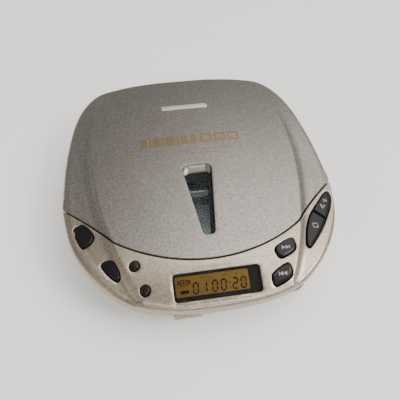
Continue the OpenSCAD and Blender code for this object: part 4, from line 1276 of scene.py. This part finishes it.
# ---------------------------- camera, floor, lights (metres)
def camera():
    """Looks down at the front, a little from the left."""
    azimuth, elevation, roll = math.radians(-10.26), math.radians(52.23), math.radians(1.6)
    level = math.cos(elevation)
    back = Vector((math.sin(azimuth) * level, -math.cos(azimuth) * level, math.sin(elevation)))
    side = (-back).cross(Vector((0, 0, 1))).normalized()
    up = side.cross(-back)
    right = side * math.cos(roll) + up * math.sin(roll)
    top = up * math.cos(roll) - side * math.sin(roll)
    data = bpy.data.cameras.new("camera")
    data.sensor_width = 36.0
    data.lens = 40.31
    ob = place("camera", data)
    turn = Matrix((right, top, back)).transposed().to_4x4()
    ob.matrix_world = Matrix.Translation((-0.02492, -0.1516, 0.20095)) @ turn
    bpy.context.scene.camera = ob


camera()


def pale_floor():
    """A wide pale sheet just under the feet."""
    p = Paint("floor", Roughness=0.8, Specular_IOR_Level=0.2)
    p.set(Emission_Color=(1.0, 0.99, 0.975), Emission_Strength=0.32)
    p.set(Base_Color=p.mix(p.noise(6, 4), (0.90, 0.895, 0.885), (0.93, 0.925, 0.915)))
    mesh = bpy.data.meshes.new("floor")
    half, drop = 3, -0.0002
    corners = [(-half, -half, drop), (half, -half, drop), (half, half, drop), (-half, half, drop)]
    mesh.from_pydata(corners, [], [(0, 1, 2, 3)])
    mesh.materials.append(p.mat)
    return place("floor", mesh)


floor = pale_floor()


def lamp(name, where, size, power, colour):
    """A round lamp aimed at the middle of the object."""
    data = bpy.data.lights.new(name, "AREA")
    data.shape = "DISK"
    data.size = size
    data.energy = power
    data.color = colour
    ob = place(name, data)
    ob.location = where
    ob.rotation_euler = (Vector((0, 0, 0.02)) - Vector(where)).to_track_quat("-Z", "Y").to_euler()


lamp("key", (0.75, -0.45, 0.80), 0.45, 7.0, (1.0, 0.97, 0.93))
lamp("fill", (-0.7, -0.35, 0.5), 0.5, 0.5, (1.0, 0.93, 0.82))
lamp("front", (0.04, -0.78, 0.64), 0.25, 1.5, (1.0, 0.98, 0.95))


def studio():
    """Soft surroundings: bright above on the right, dim behind on the left, brown low in front."""
    world = bpy.data.worlds.new("studio")
    bpy.context.scene.world = world
    world.use_nodes = True
    sky = Nodes(world.node_tree)
    ray = sky.node("ShaderNodeTexCoord").outputs["Generated"]

    def towards(direction, low, high, stops):
        dot = sky.node("ShaderNodeVectorMath", {0: ray, 1: direction}, operation="DOT_PRODUCT")
        return sky.ramp(sky.span(dot.outputs["Value"], low, high), stops)

    wide = towards((0.40, 0.18, 0.90), 0.0, 1.0, [
        (0.0, 0.11), (0.55, 0.065), (0.74, 0.07), (0.83, (0.20, 0.197, 0.192)), (0.91, (0.66, 0.65, 0.635)),
        (1.0, (1.0, 0.985, 0.96))])
    warm = towards((-0.42, -0.85, -0.3), -0.15, 0.8, [
        (0.0, 1.0), (0.35, (0.93, 0.83, 0.70)), (1.0, (0.80, 0.65, 0.50))])
    background = sky.tree.nodes["Background"]
    sky.put(background.inputs["Color"], sky.mix(1.0, wide, warm, "MULTIPLY"))
    sky.put(background.inputs["Strength"], 3.9)


studio()
